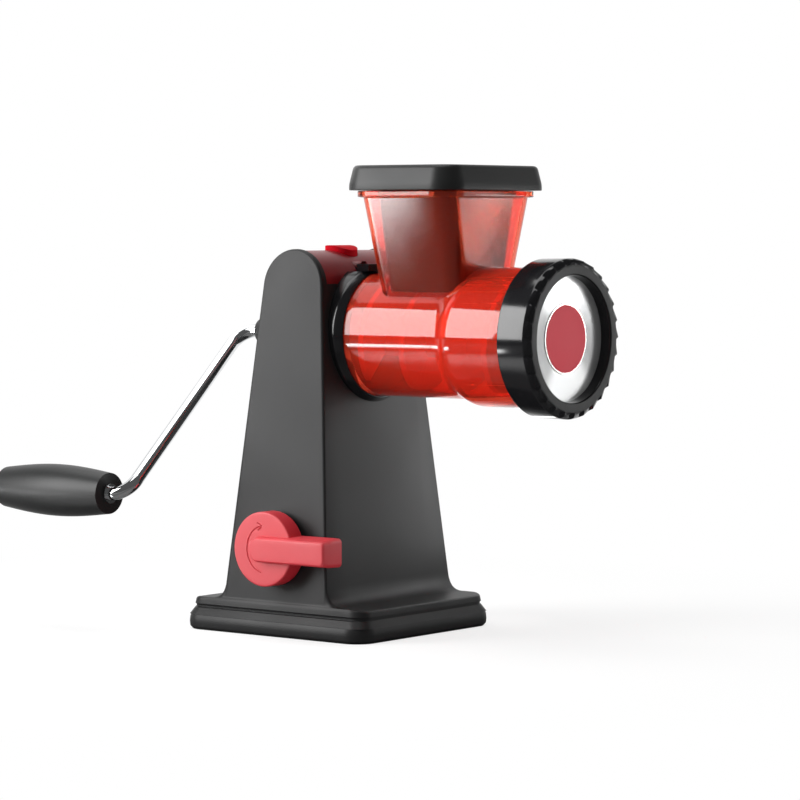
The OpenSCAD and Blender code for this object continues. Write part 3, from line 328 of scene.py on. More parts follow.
tower = np.concatenate([cheek_mark(1, 1), corners[:, 0], corners[:, 1], cheek_mark(-1, 1),
                        cheek_mark(-1, -1), corners[:, 2], corners[:, 3], cheek_mark(1, -1)], axis=1)
foot_middle = np.zeros_like(tower[:1]) + np.array([0, 0, FLANGE_LOW])
sill = np.stack([np.concatenate([cheek_mark(1, -1)[-1], cheek_mark(1, 1)[-1]]),
                 np.concatenate([cheek_mark(-1, -1)[-1], cheek_mark(-1, 1)[-1]])])


def cheek(side):
    """An arched cheek as rows up the arch: inner edge, outer face with its rounded edge, and the same
    down the other end, so that each row is a level slice of the cheek."""
    lift = np.linspace(math.asin((SEAT_Z - ARCH_Z) / ARCH_R), math.pi / 2, ARCH_ROWS)[:, None]
    in_by = TOWER_EDGE * (1 - np.cos(quarter))
    z = ARCH_Z + (ARCH_R - in_by) * np.sin(lift)
    x = (ARCH_R - in_by) * np.cos(lift)
    z[0], x[0] = SEAT_Z, tower_half_l(SEAT_Z) - in_by
    y = tower_half_w(ARCH_Z + ARCH_R * np.sin(lift)) - TOWER_EDGE * (1 - np.sin(quarter))
    x = np.concatenate([x[:, :1], x, -x[:, ::-1], -x[:, :1]], axis=1)
    y = np.concatenate([0 * y[:, :1] + CHEEK_IN, y, y[:, ::-1], 0 * y[:, :1] + CHEEK_IN], axis=1)
    z = np.concatenate([z[:, :1], z, z[:, ::-1], z[:, :1]], axis=1)
    return np.stack([x, side * y, z], -1)


stand = cast("stand", stand_black, (np.concatenate([foot_middle, tower]), False, True), (sill, False, False),
             (cheek(1), False, True), (cheek(-1), False, True))
seat(stand, "stand", "stand_black", "stand_shell")

# Suction lever
# Satin red moulding: a disc with a thin engraved arrow, and an arm that thins towards its face. It
# turns on a steel shaft in two white bushes, and a cam on the shaft lifts the cup's stem.
LEVER_Z, LEVER_R, LEVER_BACK, LEVER_FACE, LEVER_ROUND, FACE_ROWS = 45.0, 19.0, -51.28, -61.28, 2.0, 90
RIM_EASE, DISC_STEPS = [1.9, 0.3], 360
ARM_FACE = -65.88
ARM = [(7.25, 43.5, LEVER_BACK), (7.05, 43.5, -58.5), (6.25, 43.3, -64.9), (5.4, 42.6, ARM_FACE),
       (2.9, 38.0, ARM_FACE)]
ARM_EASE, ARM_TIP_R, ARM_ROUND_MOST, ARM_STEPS = [2.5, 0.9, 0.6], 2.2, 0.98, 10
ARROW_X, ARROW_R, ARROW_FROM, ARROW_TO, ARROW_HALF, ARROW_DEEP = 1.7, 12.0, 98.0, 256.0, 0.36, 0.45
ARROW_BARB, ARROW_SPREAD, ARROW_STEEP = 3.4, 32.0, 1.6

part_red = finished("part_red", grain, dict(
    Color=(0.60, 0.010, 0.024, 1), Tone=0.05, Roughness=0.52, Spread=0.04, Grain=1700.0, Depth=0.008),
    Specular_IOR_Level=1.0)
natural_white = finished("natural_white", grain, dict(
    Color=(0.78, 0.76, 0.70, 1), Tone=0.03, Roughness=0.5, Spread=0.05, Grain=1500.0, Depth=0.01))


def stroke(x, z, start, end):
    """Distance of points from a straight stroke between two points."""
    run = np.subtract(end, start)
    along = np.clip(((x - start[0]) * run[0] + (z - start[1]) * run[1]) / (run @ run), 0, 1)
    return np.hypot(x - start[0] - along * run[0], z - start[1] - along * run[1])


def around(radius, degrees):
    """Point on a circle about the arrow's middle."""
    return np.array([radius * math.cos(math.radians(degrees)), radius * math.sin(math.radians(degrees))])


# The disc is a turned profile; its face is sunk where a point lies within the arrow's half width of
# the arc or of one of its two barbs.
face_rows = np.stack([np.linspace(0, LEVER_R - LEVER_ROUND, FACE_ROWS), np.full(FACE_ROWS, LEVER_FACE)], -1)
rim_rows = eased([(LEVER_R - LEVER_ROUND, LEVER_FACE), (LEVER_R, LEVER_FACE), (LEVER_R, LEVER_BACK),
                  (0, LEVER_BACK)], RIM_EASE, steps=9)
disc = turned(np.concatenate([face_rows, rim_rows[1:]]), DISC_STEPS, (0, 0, LEVER_Z), "y")
lever_face = disc[:FACE_ROWS]
px, pz = lever_face[..., 0] - ARROW_X, lever_face[..., 2] - LEVER_Z
bearing = np.degrees(np.arctan2(pz, px)) % 360
on_arc = (bearing > ARROW_FROM) & (bearing < ARROW_TO)
tip, tail = around(ARROW_R, ARROW_FROM), around(ARROW_R, ARROW_TO)
reach = np.where(on_arc, np.abs(np.hypot(px, pz) - ARROW_R), np.hypot(px - tail[0], pz - tail[1]))
for spread in (-ARROW_SPREAD, ARROW_SPREAD):
    barb = tip + ARROW_BARB * around(1.0, ARROW_FROM + 90 + spread)
    reach = np.minimum(reach, stroke(px, pz, tip, barb))
lever_face[..., 1] += ARROW_DEEP * np.clip(ARROW_STEEP * (1 - reach / ARROW_HALF), 0, 1)

# The arm is a stack of rounded outlines, each a half width, a tip and a place along the shaft, from the
# disc's back to the face: round about the disc's middle, and drawn in at the tip.
arm_half, arm_tip, arm_y = eased(ARM, ARM_EASE).T[:, :, None]
at_tip = np.repeat([True, False, False, True], ARM_STEPS)
arm_round = np.where(at_tip, np.minimum(ARM_TIP_R, ARM_ROUND_MOST * arm_half), arm_half)
arm = corner_rings((arm_tip + arm_half) / 2, arm_half, arm_round, arm_y, (arm_tip - arm_half) / 2, ARM_STEPS)
arm = np.stack([arm[..., 0], arm[..., 2], LEVER_Z + arm[..., 1]], -1)
lever = cast("lever_knob", part_red, (disc, False, True), (capped(arm), False, True))
seat(lever, "lever", "part_red", "lever")
dress(turned_steel, "lever_shaft", "lever_pins")
dress(natural_white, "lever_bushes", "lever_cam")

# Top cover, release button and its spring
# Arched cover in deep red metallic lacquer, clipped between the cheeks, with a satin red button that
# a small steel spring holds up.

# Metal flake: small chips in the lacquer, each with its own tone and gloss.
flake, given, made, spot = finish_group("metal_flake")
chip = put(flake, "ShaderNodeTexVoronoi", (("Vector", spot), ("Scale", 2800.0)))
light = put(flake, "ShaderNodeSeparateColor", (("Color", chip.outputs["Color"]),)).outputs[0]
end_finish(flake, given, made, plus(flake, light, 2.0, -1.0), light)
cover_red = finished("cover_red", flake, dict(
    Color=(0.21, 0.006, 0.010, 1), Tone=0.22, Roughness=0.36, Spread=0.05, Depth=0.002),
    Metallic=0.25, Specular_IOR_Level=0.5, Coat_Weight=0.12, Coat_Roughness=0.25)
button_red = finished("button_red", grain, dict(
    Color=(0.50, 0.006, 0.014, 1), Tone=0.05, Roughness=0.5, Spread=0.04, Grain=1700.0, Depth=0.008),
    Specular_IOR_Level=0.01)


def soften(width, *nodes):
    """Rounds the edges of solids by a width in millimetres, where their faces meet at 50 degrees or more."""
    for node in nodes:
        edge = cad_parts[node].modifiers.new("soft_edge", "BEVEL")
        edge.width, edge.segments = width * MM, 3
        edge.limit_method, edge.angle_limit = "ANGLE", math.radians(50)
        edge.harden_normals = True


dress(cover_red, "top_cover")
dress(button_red, "release_button")
soften(0.9, "release_button")
dress(turned_steel, "button_spring")

# Latch and barrel socket
# Polished black mouldings: the socket ring is screwed to the stand's front, and the latch turns on a
# steel pin under the cover with its nose on the ring.
AXIS_Z = 153.0
SOCKET_BACK, SOCKET_BEVEL, SOCKET_FRONT = 12.0, 25.4, 29.0
SOCKET_R, SOCKET_LIP_R, SOCKET_BORE = 34.85, 32.5, 31.95
NOSE_GAP_L, NOSE_GAP_W, NOSE_GAP_R, NOSE_GAP_Z = 20.0, 13.3, 0.3, 185.1
SCREW_OFF, SCREW_HEAD_R, SCREW_HEAD_T, SCREW_R, SCREW_END = 23.65, 2.2, 1.6, 1.0, 24.4
SCREW_HIGH, SCREW_LOW = 15.2, 19.5
SOCKET_EASE, ROUND_STEPS, GAP_STEPS, SCREW_STEPS = [0.1, 0.9, 0.3, 0.1], 144, 3, 24

# Polish marks: faint smears on a polished face, with a shallow ripple.
marks, given, made, spot = finish_group("polish_marks")
smear = put(marks, "ShaderNodeTexNoise",
            (("Vector", spot), ("Scale", 55.0), ("Detail", 5.0), ("Distortion", 0.6)))
ripple = put(marks, "ShaderNodeTexNoise", (("Vector", spot), ("Scale", 240.0), ("Detail", 1.0)))
end_finish(marks, given, made, swung(marks, smear.outputs["Fac"], 0.4, 0.7, 0.0), ripple.outputs["Fac"])
gloss_black = finished("gloss_black", marks, dict(
    Color=(0.008, 0.008, 0.009, 1), Tone=0.3, Roughness=0.11, Spread=0.06, Depth=0.004),
    Specular_IOR_Level=0.4)
dress(gloss_black, "latch")
soften(0.5, "latch")
# The socket's front slopes back from the tube to a rounded outer edge, with a gap on top for the nose.
socket_line = eased([(SOCKET_BORE, SOCKET_BACK), (SOCKET_R, SOCKET_BACK), (SOCKET_R, SOCKET_BEVEL),
                     (SOCKET_LIP_R, SOCKET_FRONT), (SOCKET_BORE, SOCKET_FRONT), (SOCKET_BORE, SOCKET_BACK)],
                    SOCKET_EASE)
socket = cast("socket_ring", gloss_black, (
    turned(socket_line, ROUND_STEPS, (0, 0, AXIS_Z), "x"), True, True))
nose_gap_top = AXIS_Z + SOCKET_R + 2 * CUT_PAST
carve(socket, cast("nose_gap", gloss_black, (capped(corner_rings(
    NOSE_GAP_L, NOSE_GAP_W, NOSE_GAP_R, [NOSE_GAP_Z, nose_gap_top], SOCKET_FRONT, GAP_STEPS)), False, True)))
seat(socket, "stand", "gloss_black", "barrel_socket")
dress(turned_steel, "latch_pin")
# Four screws from inside the stand, each a turned head with a shank that ends in the ring's wall.
socket_screws = cast("ring_screws", turned_steel, *(
    (turned([(0, head), (SCREW_HEAD_R, head), (SCREW_HEAD_R, head + SCREW_HEAD_T),
             (SCREW_R, head + SCREW_HEAD_T), (SCREW_R, SCREW_END), (0, SCREW_END)], SCREW_STEPS,
            (0, y, AXIS_Z + z), "x"), False, True)
    for y, z, head in ((SCREW_OFF, SCREW_OFF, SCREW_HIGH), (-SCREW_OFF, SCREW_OFF, SCREW_HIGH),
                       (SCREW_OFF, -SCREW_OFF, SCREW_LOW), (-SCREW_OFF, -SCREW_OFF, SCREW_LOW))))
seat(socket_screws, "stand", "steel", "socket_screws")

# Drive shaft, bushes and seal
# Turned steel shaft through the stand in two natural white bushes, kept by two clips, with a rubber
# seal where it enters the barrel.
dress(turned_steel, "drive_shaft", "shaft_clips")
dress(natural_white, "front_bush", "rear_bush")
dress(rubber, "shaft_seal")

# Crank
# Chromed steel rod bent twice, pressed in a satin black hub that a thumb screw holds on the shaft's
# square; a black grip turns on the rod's end, with a red cap over its washer.
chrome = finished("chrome", marks, dict(
    Color=(0.74, 0.75, 0.76, 1), Tone=0.04, Roughness=0.05, Spread=0.04, Depth=0.001), Metallic=1.0)
matt_black = finished("matt_black", grain, dict(
    Color=(0.014, 0.0145, 0.0145, 1), Tone=0.08, Roughness=0.42, Spread=0.04, Grain=1600.0, Depth=0.010),
    Specular_IOR_Level=0.38)
dress(chrome, "crank_rod")
dress(matt_black, "crank_hub", "hub_screw", "grip")
soften(0.5, "crank_hub", "hub_screw")
dress(part_red, "grip_cap")
dress(turned_steel, "grip_retainer")

# Barrel and hopper
# One clear red moulding with polished walls: a tube that swells to a wider head with a threaded neck,
# and a hopper with a rim. The latch holds it in the socket.
TUBE_R, TUBE_BORE, TUBE_BACK, TUBE_FLOOR, TUBE_SWELL, BORE_SWELL = 31.7, 29.3, 24.96, 30.76, 88.5, 90.5
HEAD_R, HEAD_BORE, HEAD_FROM, HEAD_TO = 35.0, 30.3, 95.0, 130.0
NECK_R, NECK_FROM, NECK_END, NECK_ROWS, SHAFT_HOLE = 33.0, 131.0, 137.7, 36, 8.55
THREAD_FROM, THREAD_PITCH, THREAD_TURNS, THREAD_HIGH = 131.4, 4.0, 1.325, 1.0
THREAD_CREST, THREAD_SLOPE, THREAD_RUN, THREAD_FADE = 1.5, 3.6, 0.15, 4.0
NOTCH_X, NOTCH_HALF_L, NOTCH_HALF_W, NOTCH_R, NOTCH_FLOOR = 28.1, 2.2, 5.9, 0.3, 181.5
BARREL_EASE, BORE_EASE, HOLE_STEPS = [0.8, 4.0, 3.0, 1.8, 0.3], [1.5, 2.0, 2.0, 0.0], 48
HOPPER_X, HOPPER_WALL = 70.0, 2.4
HOPPER = [(25.1, 21.3, 9.0, 160.0), (29.0, 37.0, 10.0, 222.6), (32.0, 40.0, 13.0, 223.0),
          (32.0, 40.0, 13.0, 226.0), (28.0, 36.0, 9.0, 226.0)]
THROAT = [(25.3, 22.0, 9.0, 163.0), (29.0, 37.0, 10.0, 223.0), (29.0, 37.0, 10.0, 228.0)]
HOPPER_EASE, THROAT_EASE, HOPPER_STEPS = [0.3, 0.8, 0.8], [0.8], 14

tube_red = finished("tube_red", marks, dict(
    Color=(0.98, 0.095, 0.045, 1), Tone=0.02, Roughness=0.02, Spread=0.03, Depth=0.002),
    Transmission_Weight=0.78, IOR=1.45)
clear_red = finished("clear_red", marks, dict(
    Color=(0.97, 0.125, 0.05, 1), Tone=0.02, Roughness=0.10, Spread=0.03, Depth=0.001),
    Transmission_Weight=0.94, IOR=1.45)
barrel_line = np.concatenate([
    eased([(0, TUBE_BACK), (TUBE_R, TUBE_BACK), (TUBE_R, TUBE_SWELL), (HEAD_R, HEAD_FROM), (HEAD_R, HEAD_TO),
           (NECK_R, HEAD_TO), (NECK_R, NECK_FROM)], BARREL_EASE, steps=9),
    np.stack([np.full(NECK_ROWS, NECK_R), np.linspace(NECK_FROM, NECK_END, NECK_ROWS)], -1),
    [(NECK_R, NECK_END), (0, NECK_END)]])
barrel_form = turned(barrel_line, ROUND_STEPS, (0, 0, AXIS_Z), "x")
# The thread is a ridge on the neck: its height falls with the distance from a line that moves on by
# the pitch each turn, and it fades in and out at the ends of its turns.
neck = barrel_form[-NECK_ROWS - 2:-2]
lap = np.arctan2(neck[..., 2] - AXIS_Z, neck[..., 1]) / (2 * math.pi)
travel = (neck[..., 0] - THREAD_FROM) / THREAD_PITCH - lap
whole = np.round(travel)
ridge = np.clip(THREAD_CREST - THREAD_SLOPE * np.abs(travel - whole), 0, 1) * np.clip(
    THREAD_FADE * np.minimum(whole + lap + THREAD_RUN, THREAD_TURNS + THREAD_RUN - whole - lap), 0, 1)
swell = 1 + THREAD_HIGH * ridge / NECK_R
neck[..., 1] *= swell
neck[..., 2] = AXIS_Z + (neck[..., 2] - AXIS_Z) * swell
bore_line = eased([(0, TUBE_FLOOR), (TUBE_BORE, TUBE_FLOOR), (TUBE_BORE, BORE_SWELL), (HEAD_BORE, HEAD_FROM),
                   (HEAD_BORE, NECK_END + CUT_PAST), (0, NECK_END + CUT_PAST)], BORE_EASE)


def hopper_stack(rows, wall, ease):
    """The hopper's rounded rings, each a half length, a half width, a corner radius and a height, with
    the corners up the wall eased and set in by a wall's thickness."""
    half_l, half_w, radius, z = eased(rows, ease, steps=7).T
    return capped(corner_rings(half_l - wall, half_w - wall, radius - wall, z, HOPPER_X, HOPPER_STEPS))


barrel = cast("clear_barrel", tube_red, (barrel_form, False, True))
carve(barrel, cast("hopper", clear_red, (hopper_stack(HOPPER, 0.0, HOPPER_EASE), False, True)), "UNION")
carve(barrel, cast("bore", tube_red, (turned(bore_line, ROUND_STEPS, (0, 0, AXIS_Z), "x"), False, True)))
carve(barrel, cast("throat", clear_red, (hopper_stack(THROAT, HOPPER_WALL, THROAT_EASE), False, True)))
carve(barrel, cast("shaft_hole", tube_red, (turned(
    [(0, TUBE_BACK - CUT_PAST), (SHAFT_HOLE, TUBE_BACK - CUT_PAST), (SHAFT_HOLE, TUBE_FLOOR + CUT_PAST),
     (0, TUBE_FLOOR + CUT_PAST)], HOLE_STEPS, (0, 0, AXIS_Z), "x"), False, True)))
carve(barrel, cast("tooth_notch", tube_red, (capped(corner_rings(
    NOTCH_HALF_L, NOTCH_HALF_W, NOTCH_R, [NOTCH_FLOOR, AXIS_Z + HEAD_R], NOTCH_X, GAP_STEPS)), False, True)))
seat(barrel, "stand", "clear_red", "barrel")

# Screw, knife and grinding plate
# Red moulded screw on the shaft's hexagon, with a steel knife on its square and a drilled steel
# plate keyed in the neck.
screw_red = finished("screw_red", grain, dict(
    Color=(0.98, 0.15, 0.08, 1), Tone=0.04, Roughness=0.45, Spread=0.04, Grain=1500.0, Depth=0.01))
dress(screw_red, "auger")
dress(turned_steel, "knife", "grinding_plate")

# Front disc and badge
# Bright turned disc that closes the outlet, with a plain red printed badge inside a thin white
# outline. The ring nut's lip holds it.
# Bearing and rise of the painted fans of shade on the disc, a painted reflection.
PAINTED_FAN_AT, PAINTED_FAN_RISE = 97.0, (0.55, -0.25)


def ramp(tree, value, start, end):
    """Rises smoothly from 0 to 1 as a value goes from start to end."""
    return put(tree, "ShaderNodeMapRange", (("Value", value), ("From Min", start), ("From Max", end)),
               interpolation_type="SMOOTHSTEP").outputs[0]


def times(tree, first, *others):
    """The product of values."""
    for other in others:
        first = put(tree, "ShaderNodeMath", ((0, first), (1, other)), operation="MULTIPLY").outputs[0]
    return first


# Turned rings: fine lines round the axis, and two opposite fans of painted shade that stand in for the
# bow-tie reflection of a turned face.
rings, given, made, spot = finish_group("turned_rings_and_painted_fans", Lines=FLOAT, Fan=FLOAT)
off_axis = put(rings, "ShaderNodeVectorMath", ((0, spot), (1, (0.0, 0.0, AXIS_Z * MM))),
               operation="SUBTRACT")
flat = put(rings, "ShaderNodeVectorMath", ((0, off_axis.outputs[0]), (1, (0.0, 1.0, 1.0))),
           operation="MULTIPLY").outputs[0]
out_by = put(rings, "ShaderNodeVectorMath", ((0, flat),), operation="LENGTH").outputs["Value"]
pitch = times(rings, out_by, given["Lines"])
cut = put(rings, "ShaderNodeTexNoise", (("W", pitch), ("Scale", 1.0), ("Detail", 2.0)),
          noise_dimensions="1D").outputs["Fac"]
place = put(rings, "ShaderNodeSeparateXYZ", ((0, flat),)).outputs
bearing = put(rings, "ShaderNodeMath", ((0, place["Z"]), (1, place["Y"])), operation="ARCTAN2").outputs[0]
# The fans are painted reflection: two opposite sectors of the colour are darkened by their bearing round the
# axis.
half_turns = plus(rings, bearing, 2.0, -2.0 * math.radians(PAINTED_FAN_AT))
wave = put(rings, "ShaderNodeMath", ((0, half_turns),), operation="COSINE").outputs[0]
painted_shade = times(rings, ramp(rings, wave, *PAINTED_FAN_RISE), given["Fan"])
end_finish(rings, given, made, plus(rings, cut, 2.0, -1.0), cut, painted_shade)
# The disc's colour carries the painted fans of shade in place of its turned reflection.
bright_disc = finished("bright_disc", rings, dict(
    Color=(0.80, 0.81, 0.81, 1), Tone=0.03, Roughness=0.22, Spread=0.05, Depth=0.035,
    Lines=4500.0, Fan=0.5), Metallic=0.55)
badge_red = finished("badge_red", grain, dict(
    Color=(0.93, 0.085, 0.115, 1), Tone=0.03, Roughness=0.5, Spread=0.05, Grain=3000.0, Depth=0.004),
    Specular_IOR_Level=0.3)
badge_white = finished("badge_white", grain, dict(
    Color=(0.90, 0.89, 0.86, 1), Tone=0.02, Roughness=0.25, Spread=0.05, Grain=3000.0, Depth=0.004),
    Metallic=0.8)
dress(bright_disc, "front_disc")
dress(badge_red, "disc_badge")
dress(badge_white, "badge_rim")

# Ring nut
# Polished black ring that screws on the barrel's neck and clamps the disc, with a saw-toothed grip
# round its front edge.
NUT_BACK, NUT_LIP, NUT_EDGE, NUT_FACE = 130.4, 143.7, 148.7, 149.5
NUT_BODY_R, NUT_SHOULDER_R, NUT_LIP_R, NUT_FACE_R, NUT_ROOM_R = 39.4, 39.7, 39.0, 37.7, 35.0
NUT_OPENING_R, OPENING_EDGE, OPENING_LIP, OPENING_DEEP = 31.0, 1.0, 0.5, 0.6
TEETH, TOOTH_STEPS, TOOTH_RISE = 28, 24, 0.82
TOOTH_LONG, TOOTH_DEEP, TOOTH_FADE, TOOTH_INNER = 1.4, 0.25, 146.6, 36.2
MATT_IN, MATT_OUT = 0.9, 0.4
NUT_EASE = [0.2, 0.7, 0.7, 0.3, 0.4, 0.5, 0.35, 0.35, 0.2]

nut_line = eased([(NUT_ROOM_R, NUT_LIP), (NUT_ROOM_R, NUT_BACK), (NUT_BODY_R, NUT_BACK),
                  (NUT_SHOULDER_R, TOOTH_FADE), (NUT_LIP_R, NUT_EDGE), (NUT_FACE_R, NUT_FACE),
                  (TOOTH_INNER, NUT_FACE), (NUT_OPENING_R + OPENING_EDGE, NUT_FACE),
                  (NUT_OPENING_R + OPENING_LIP, NUT_FACE - OPENING_DEEP), (NUT_OPENING_R, NUT_LIP),
                  (NUT_ROOM_R, NUT_LIP)], NUT_EASE)
nut_form = turned(nut_line, TEETH * TOOTH_STEPS, (0, 0, AXIS_Z), "x")
nut_y, nut_z = nut_form[..., 1], nut_form[..., 2] - AXIS_Z
nut_r, nut_turn = np.hypot(nut_y, nut_z), np.arctan2(nut_z, nut_y)
# A tooth draws the edge back little by little round the rim and lets it spring forward again; it
# fades out along the smooth side and towards the middle of the face.
phase = (nut_turn / (2 * math.pi) * TEETH) % 1.0
pull = np.minimum(phase / TOOTH_RISE, (1 - phase) / (1 - TOOTH_RISE))
hold = np.clip((nut_form[..., 0] - TOOTH_FADE) / (NUT_EDGE - TOOTH_FADE), 0, 1) * np.clip(
    (nut_r - TOOTH_INNER) / (NUT_FACE_R - TOOTH_INNER), 0, 1)
new_r = nut_r - TOOTH_DEEP * pull * hold
nut_form[..., 1] *= new_r / nut_r
nut_form[..., 2] = AXIS_Z + nut_z * new_r / nut_r
nut_form[..., 0] -= TOOTH_LONG * pull * hold
nut = cast("screw_ring", gloss_black, (nut_form, True, True), crease=40)
# The flat of the front face is left matt between the teeth and the polished edge of the opening.
nut.data.materials.append(matt_black)
centres = np.empty(3 * len(nut.data.polygons), np.float32)
nut.data.polygons.foreach_get("center", centres)
face_x, face_y, face_z = centres.reshape(-1, 3).T / MM
face_r = np.hypot(face_y, face_z - AXIS_Z)
is_flat = (face_x > NUT_EDGE) & (face_r > NUT_OPENING_R + MATT_IN) & (face_r < TOOTH_INNER + MATT_OUT)
nut.data.polygons.foreach_set("material_index", is_flat.astype(np.int32))
seat(nut, "nut", "gloss_black", "ring_nut")

# Pusher
# Two black mouldings that are lifted out by hand together: a satin lid with rounded edges over the
# hopper's rim, and under it a plunger that tapers down into the throat.
CAP_LOW, CAP_FOOT, CAP_CEILING, CAP_TOP = 226.3, 229.3, 236.4, 238.8
CAP_HALF_L, CAP_HALF_W, CAP_WALL, CAP_IN, CAP_FLAT = 35.0, 43.0, 4.8, 2.4, 8.4
CAP_R, CAP_LEAST_R, CAP_EASE, CAP_STEPS = 13.0, 5.0, [0.3, 0.5, 3.0, 2.2], 12
PUSH_TOP, PUSH_FOOT, PUSH_ARCH_R = 236.3, 175.6, 30.6
PUSH_HEAD_L, PUSH_HEAD_W, PUSH_HEAD_R = 24.6, 30.0, 7.6
PUSH_FOOT_L, PUSH_FOOT_W, PUSH_FOOT_R = 21.5, 21.4, 7.2
PUSH_STEPS, SIDE_STEPS, WALL_ROWS, SOLE_ROWS = 12, 18, 12, 14

cap_line = eased([(CAP_WALL, CAP_CEILING), (CAP_WALL, CAP_LOW), (0.0, CAP_LOW), (0.0, CAP_FOOT),
                  (CAP_IN, CAP_TOP), (CAP_FLAT, CAP_TOP)], CAP_EASE, steps=7)
cap_in, cap_z = cap_line.T
pusher_lid = cast("pusher_lid", matt_black, (capped(corner_rings(
    CAP_HALF_L - cap_in, CAP_HALF_W - cap_in, np.maximum(CAP_R - cap_in, CAP_LEAST_R), cap_z,
    HOPPER_X, CAP_STEPS)), False, True))
seat(pusher_lid, "pusher", "matt_black", "pusher_cap")


def with_sides(ring):
    """A rounded rectangle's outline with more points spaced evenly along its straight sides."""
    corners = ring.reshape(4, -1, 3)
    start, end = corners[:, -1:], np.roll(corners[:, :1], -1, axis=0)
    sides = start + (end - start) * np.linspace(0, 1, SIDE_STEPS)[1:-1, None]
    return np.concatenate([corners, sides], axis=1).reshape(-1, 3)


def arched(y):
    """Height of the plunger's foot at a place across: the arch's circle, or the flat edge below it."""
    return np.maximum(PUSH_FOOT, AXIS_Z + np.sqrt(np.maximum(PUSH_ARCH_R ** 2 - y ** 2, 0)))


# The plunger tapers from the lid down into the throat, and its foot is arched over the screw.
push_head, push_foot = (
    with_sides(corner_rings(half_l, half_w, radius, z, HOPPER_X, PUSH_STEPS)[0])
    for half_l, half_w, radius, z in ((PUSH_HEAD_L, PUSH_HEAD_W, PUSH_HEAD_R, PUSH_TOP),
                                      (PUSH_FOOT_L, PUSH_FOOT_W, PUSH_FOOT_R, PUSH_FOOT)))
drop = ((PUSH_TOP - arched(push_foot[:, 1])) / (PUSH_TOP - PUSH_FOOT))[:, None]
push_low = push_head + (push_foot - push_head) * drop
push_wall = push_head + (push_low - push_head) * np.linspace(0, 1, WALL_ROWS)[:, None, None]
middle = np.array([HOPPER_X, 0.0, 0.0])
push_sole = middle + (push_low - middle) * np.linspace(1, 0, SOLE_ROWS)[1:, None, None]
push_sole[..., 2] = arched(push_sole[..., 1])
plunger_black = finished("plunger_black", grain, dict(
    Color=(0.010, 0.010, 0.0105, 1), Tone=0.08, Roughness=0.55, Spread=0.04, Grain=1600.0, Depth=0.010),
    Specular_IOR_Level=0.2)
plunger = cast("plunger", plunger_black, (np.concatenate([capped(push_wall)[:-1], push_sole]), False, True))
seat(plunger, "pusher", "matt_black", "pusher_body")

# Floor, light and camera
# Pale floor that keeps the object's shadow and turns white further out, under a white sky, with soft
# boxes on the left, above and behind on the right, and a long lens at the picture's angle.
FLOOR_HALF, FLOOR_NEAR, FLOOR_FAR, FLOOR_SHADE = 3.0, 0.12, 0.4, 0.3
FLOOR_TONE, FLOOR_SEEN, FLOOR_MIRRORED = 0.62, 0.34, -0.47
BACKWARD, BACK_RISE = (-0.613, 0.788, 0.0), (0.05, 0.2)
POLISH, POLISH_TONE, POLISH_ROUGHNESS = 0.42, 0.45, 0.12
POLISH_RISE, POLISH_FALL = (0.13, 0.23), (0.38, 0.30)
CARD_OUT, CARD_RISE, CARD_FALL = (-0.54, -0.84, 0.0), (0.435, 0.54), (0.70, 0.62)
CARD_ASIDE, CARD_END, CARD_GLOW = (1.0, -0.88, 0.0), (0.145, 0.115), 22.0
AMBIENT, DARK_SIDE, SKY_WAY = 0.40, 0.10, (-0.613, 0.788, 0.05)
SKY_RISE, SKY_FALL = (0.45, 0.8), (0.74, 0.62)
CAMERA_AT, CAMERA_DOWN, CAMERA_ROUND = (1.07661, -1.32899, 0.21072), 3.10, 37.94
CAMERA_LENS, CAMERA_SENSOR, CAMERA_REACH = 148.33, 36.0, 20.0
WHITE = (1, 1, 1, 1)


def along(tree, spot, way):
    """How far a place lies along a direction."""
    return put(tree, "ShaderNodeVectorMath", ((0, spot), (1, way)), operation="DOT_PRODUCT").outputs["Value"]


def most(tree, a, b):
    """The larger of two values."""
    return put(tree, "ShaderNodeMath", ((0, a), (1, b)), operation="MAXIMUM").outputs[0]


def laid_over(tree, share, under, over):
    """A shader that covers another by a share."""
    return put(tree, "ShaderNodeMixShader", ((0, share), (1, under), (2, over))).outputs[0]


floor_mesh = bpy.data.meshes.new("floor")
floor_mesh.from_pydata([(-FLOOR_HALF, -FLOOR_HALF, 0), (FLOOR_HALF, -FLOOR_HALF, 0),
                        (FLOOR_HALF, FLOOR_HALF, 0), (-FLOOR_HALF, FLOOR_HALF, 0)], [], [(0, 1, 2, 3)])
floor = bpy.data.objects.new("floor", floor_mesh)
bpy.context.scene.collection.objects.link(floor)
pale = bpy.data.materials.new("pale_floor")
pale.use_nodes = True
tree = pale.node_tree
tree.nodes.remove(tree.nodes["Principled BSDF"])
rays = put(tree, "ShaderNodeLightPath").outputs
in_view, in_glass, in_gloss = rays["Is Camera Ray"], rays["Is Transmission Ray"], rays["Is Glossy Ray"]
spot = put(tree, "ShaderNodeTexCoord").outputs["Object"]
out_by = put(tree, "ShaderNodeVectorMath", ((0, spot),), operation="LENGTH").outputs["Value"]
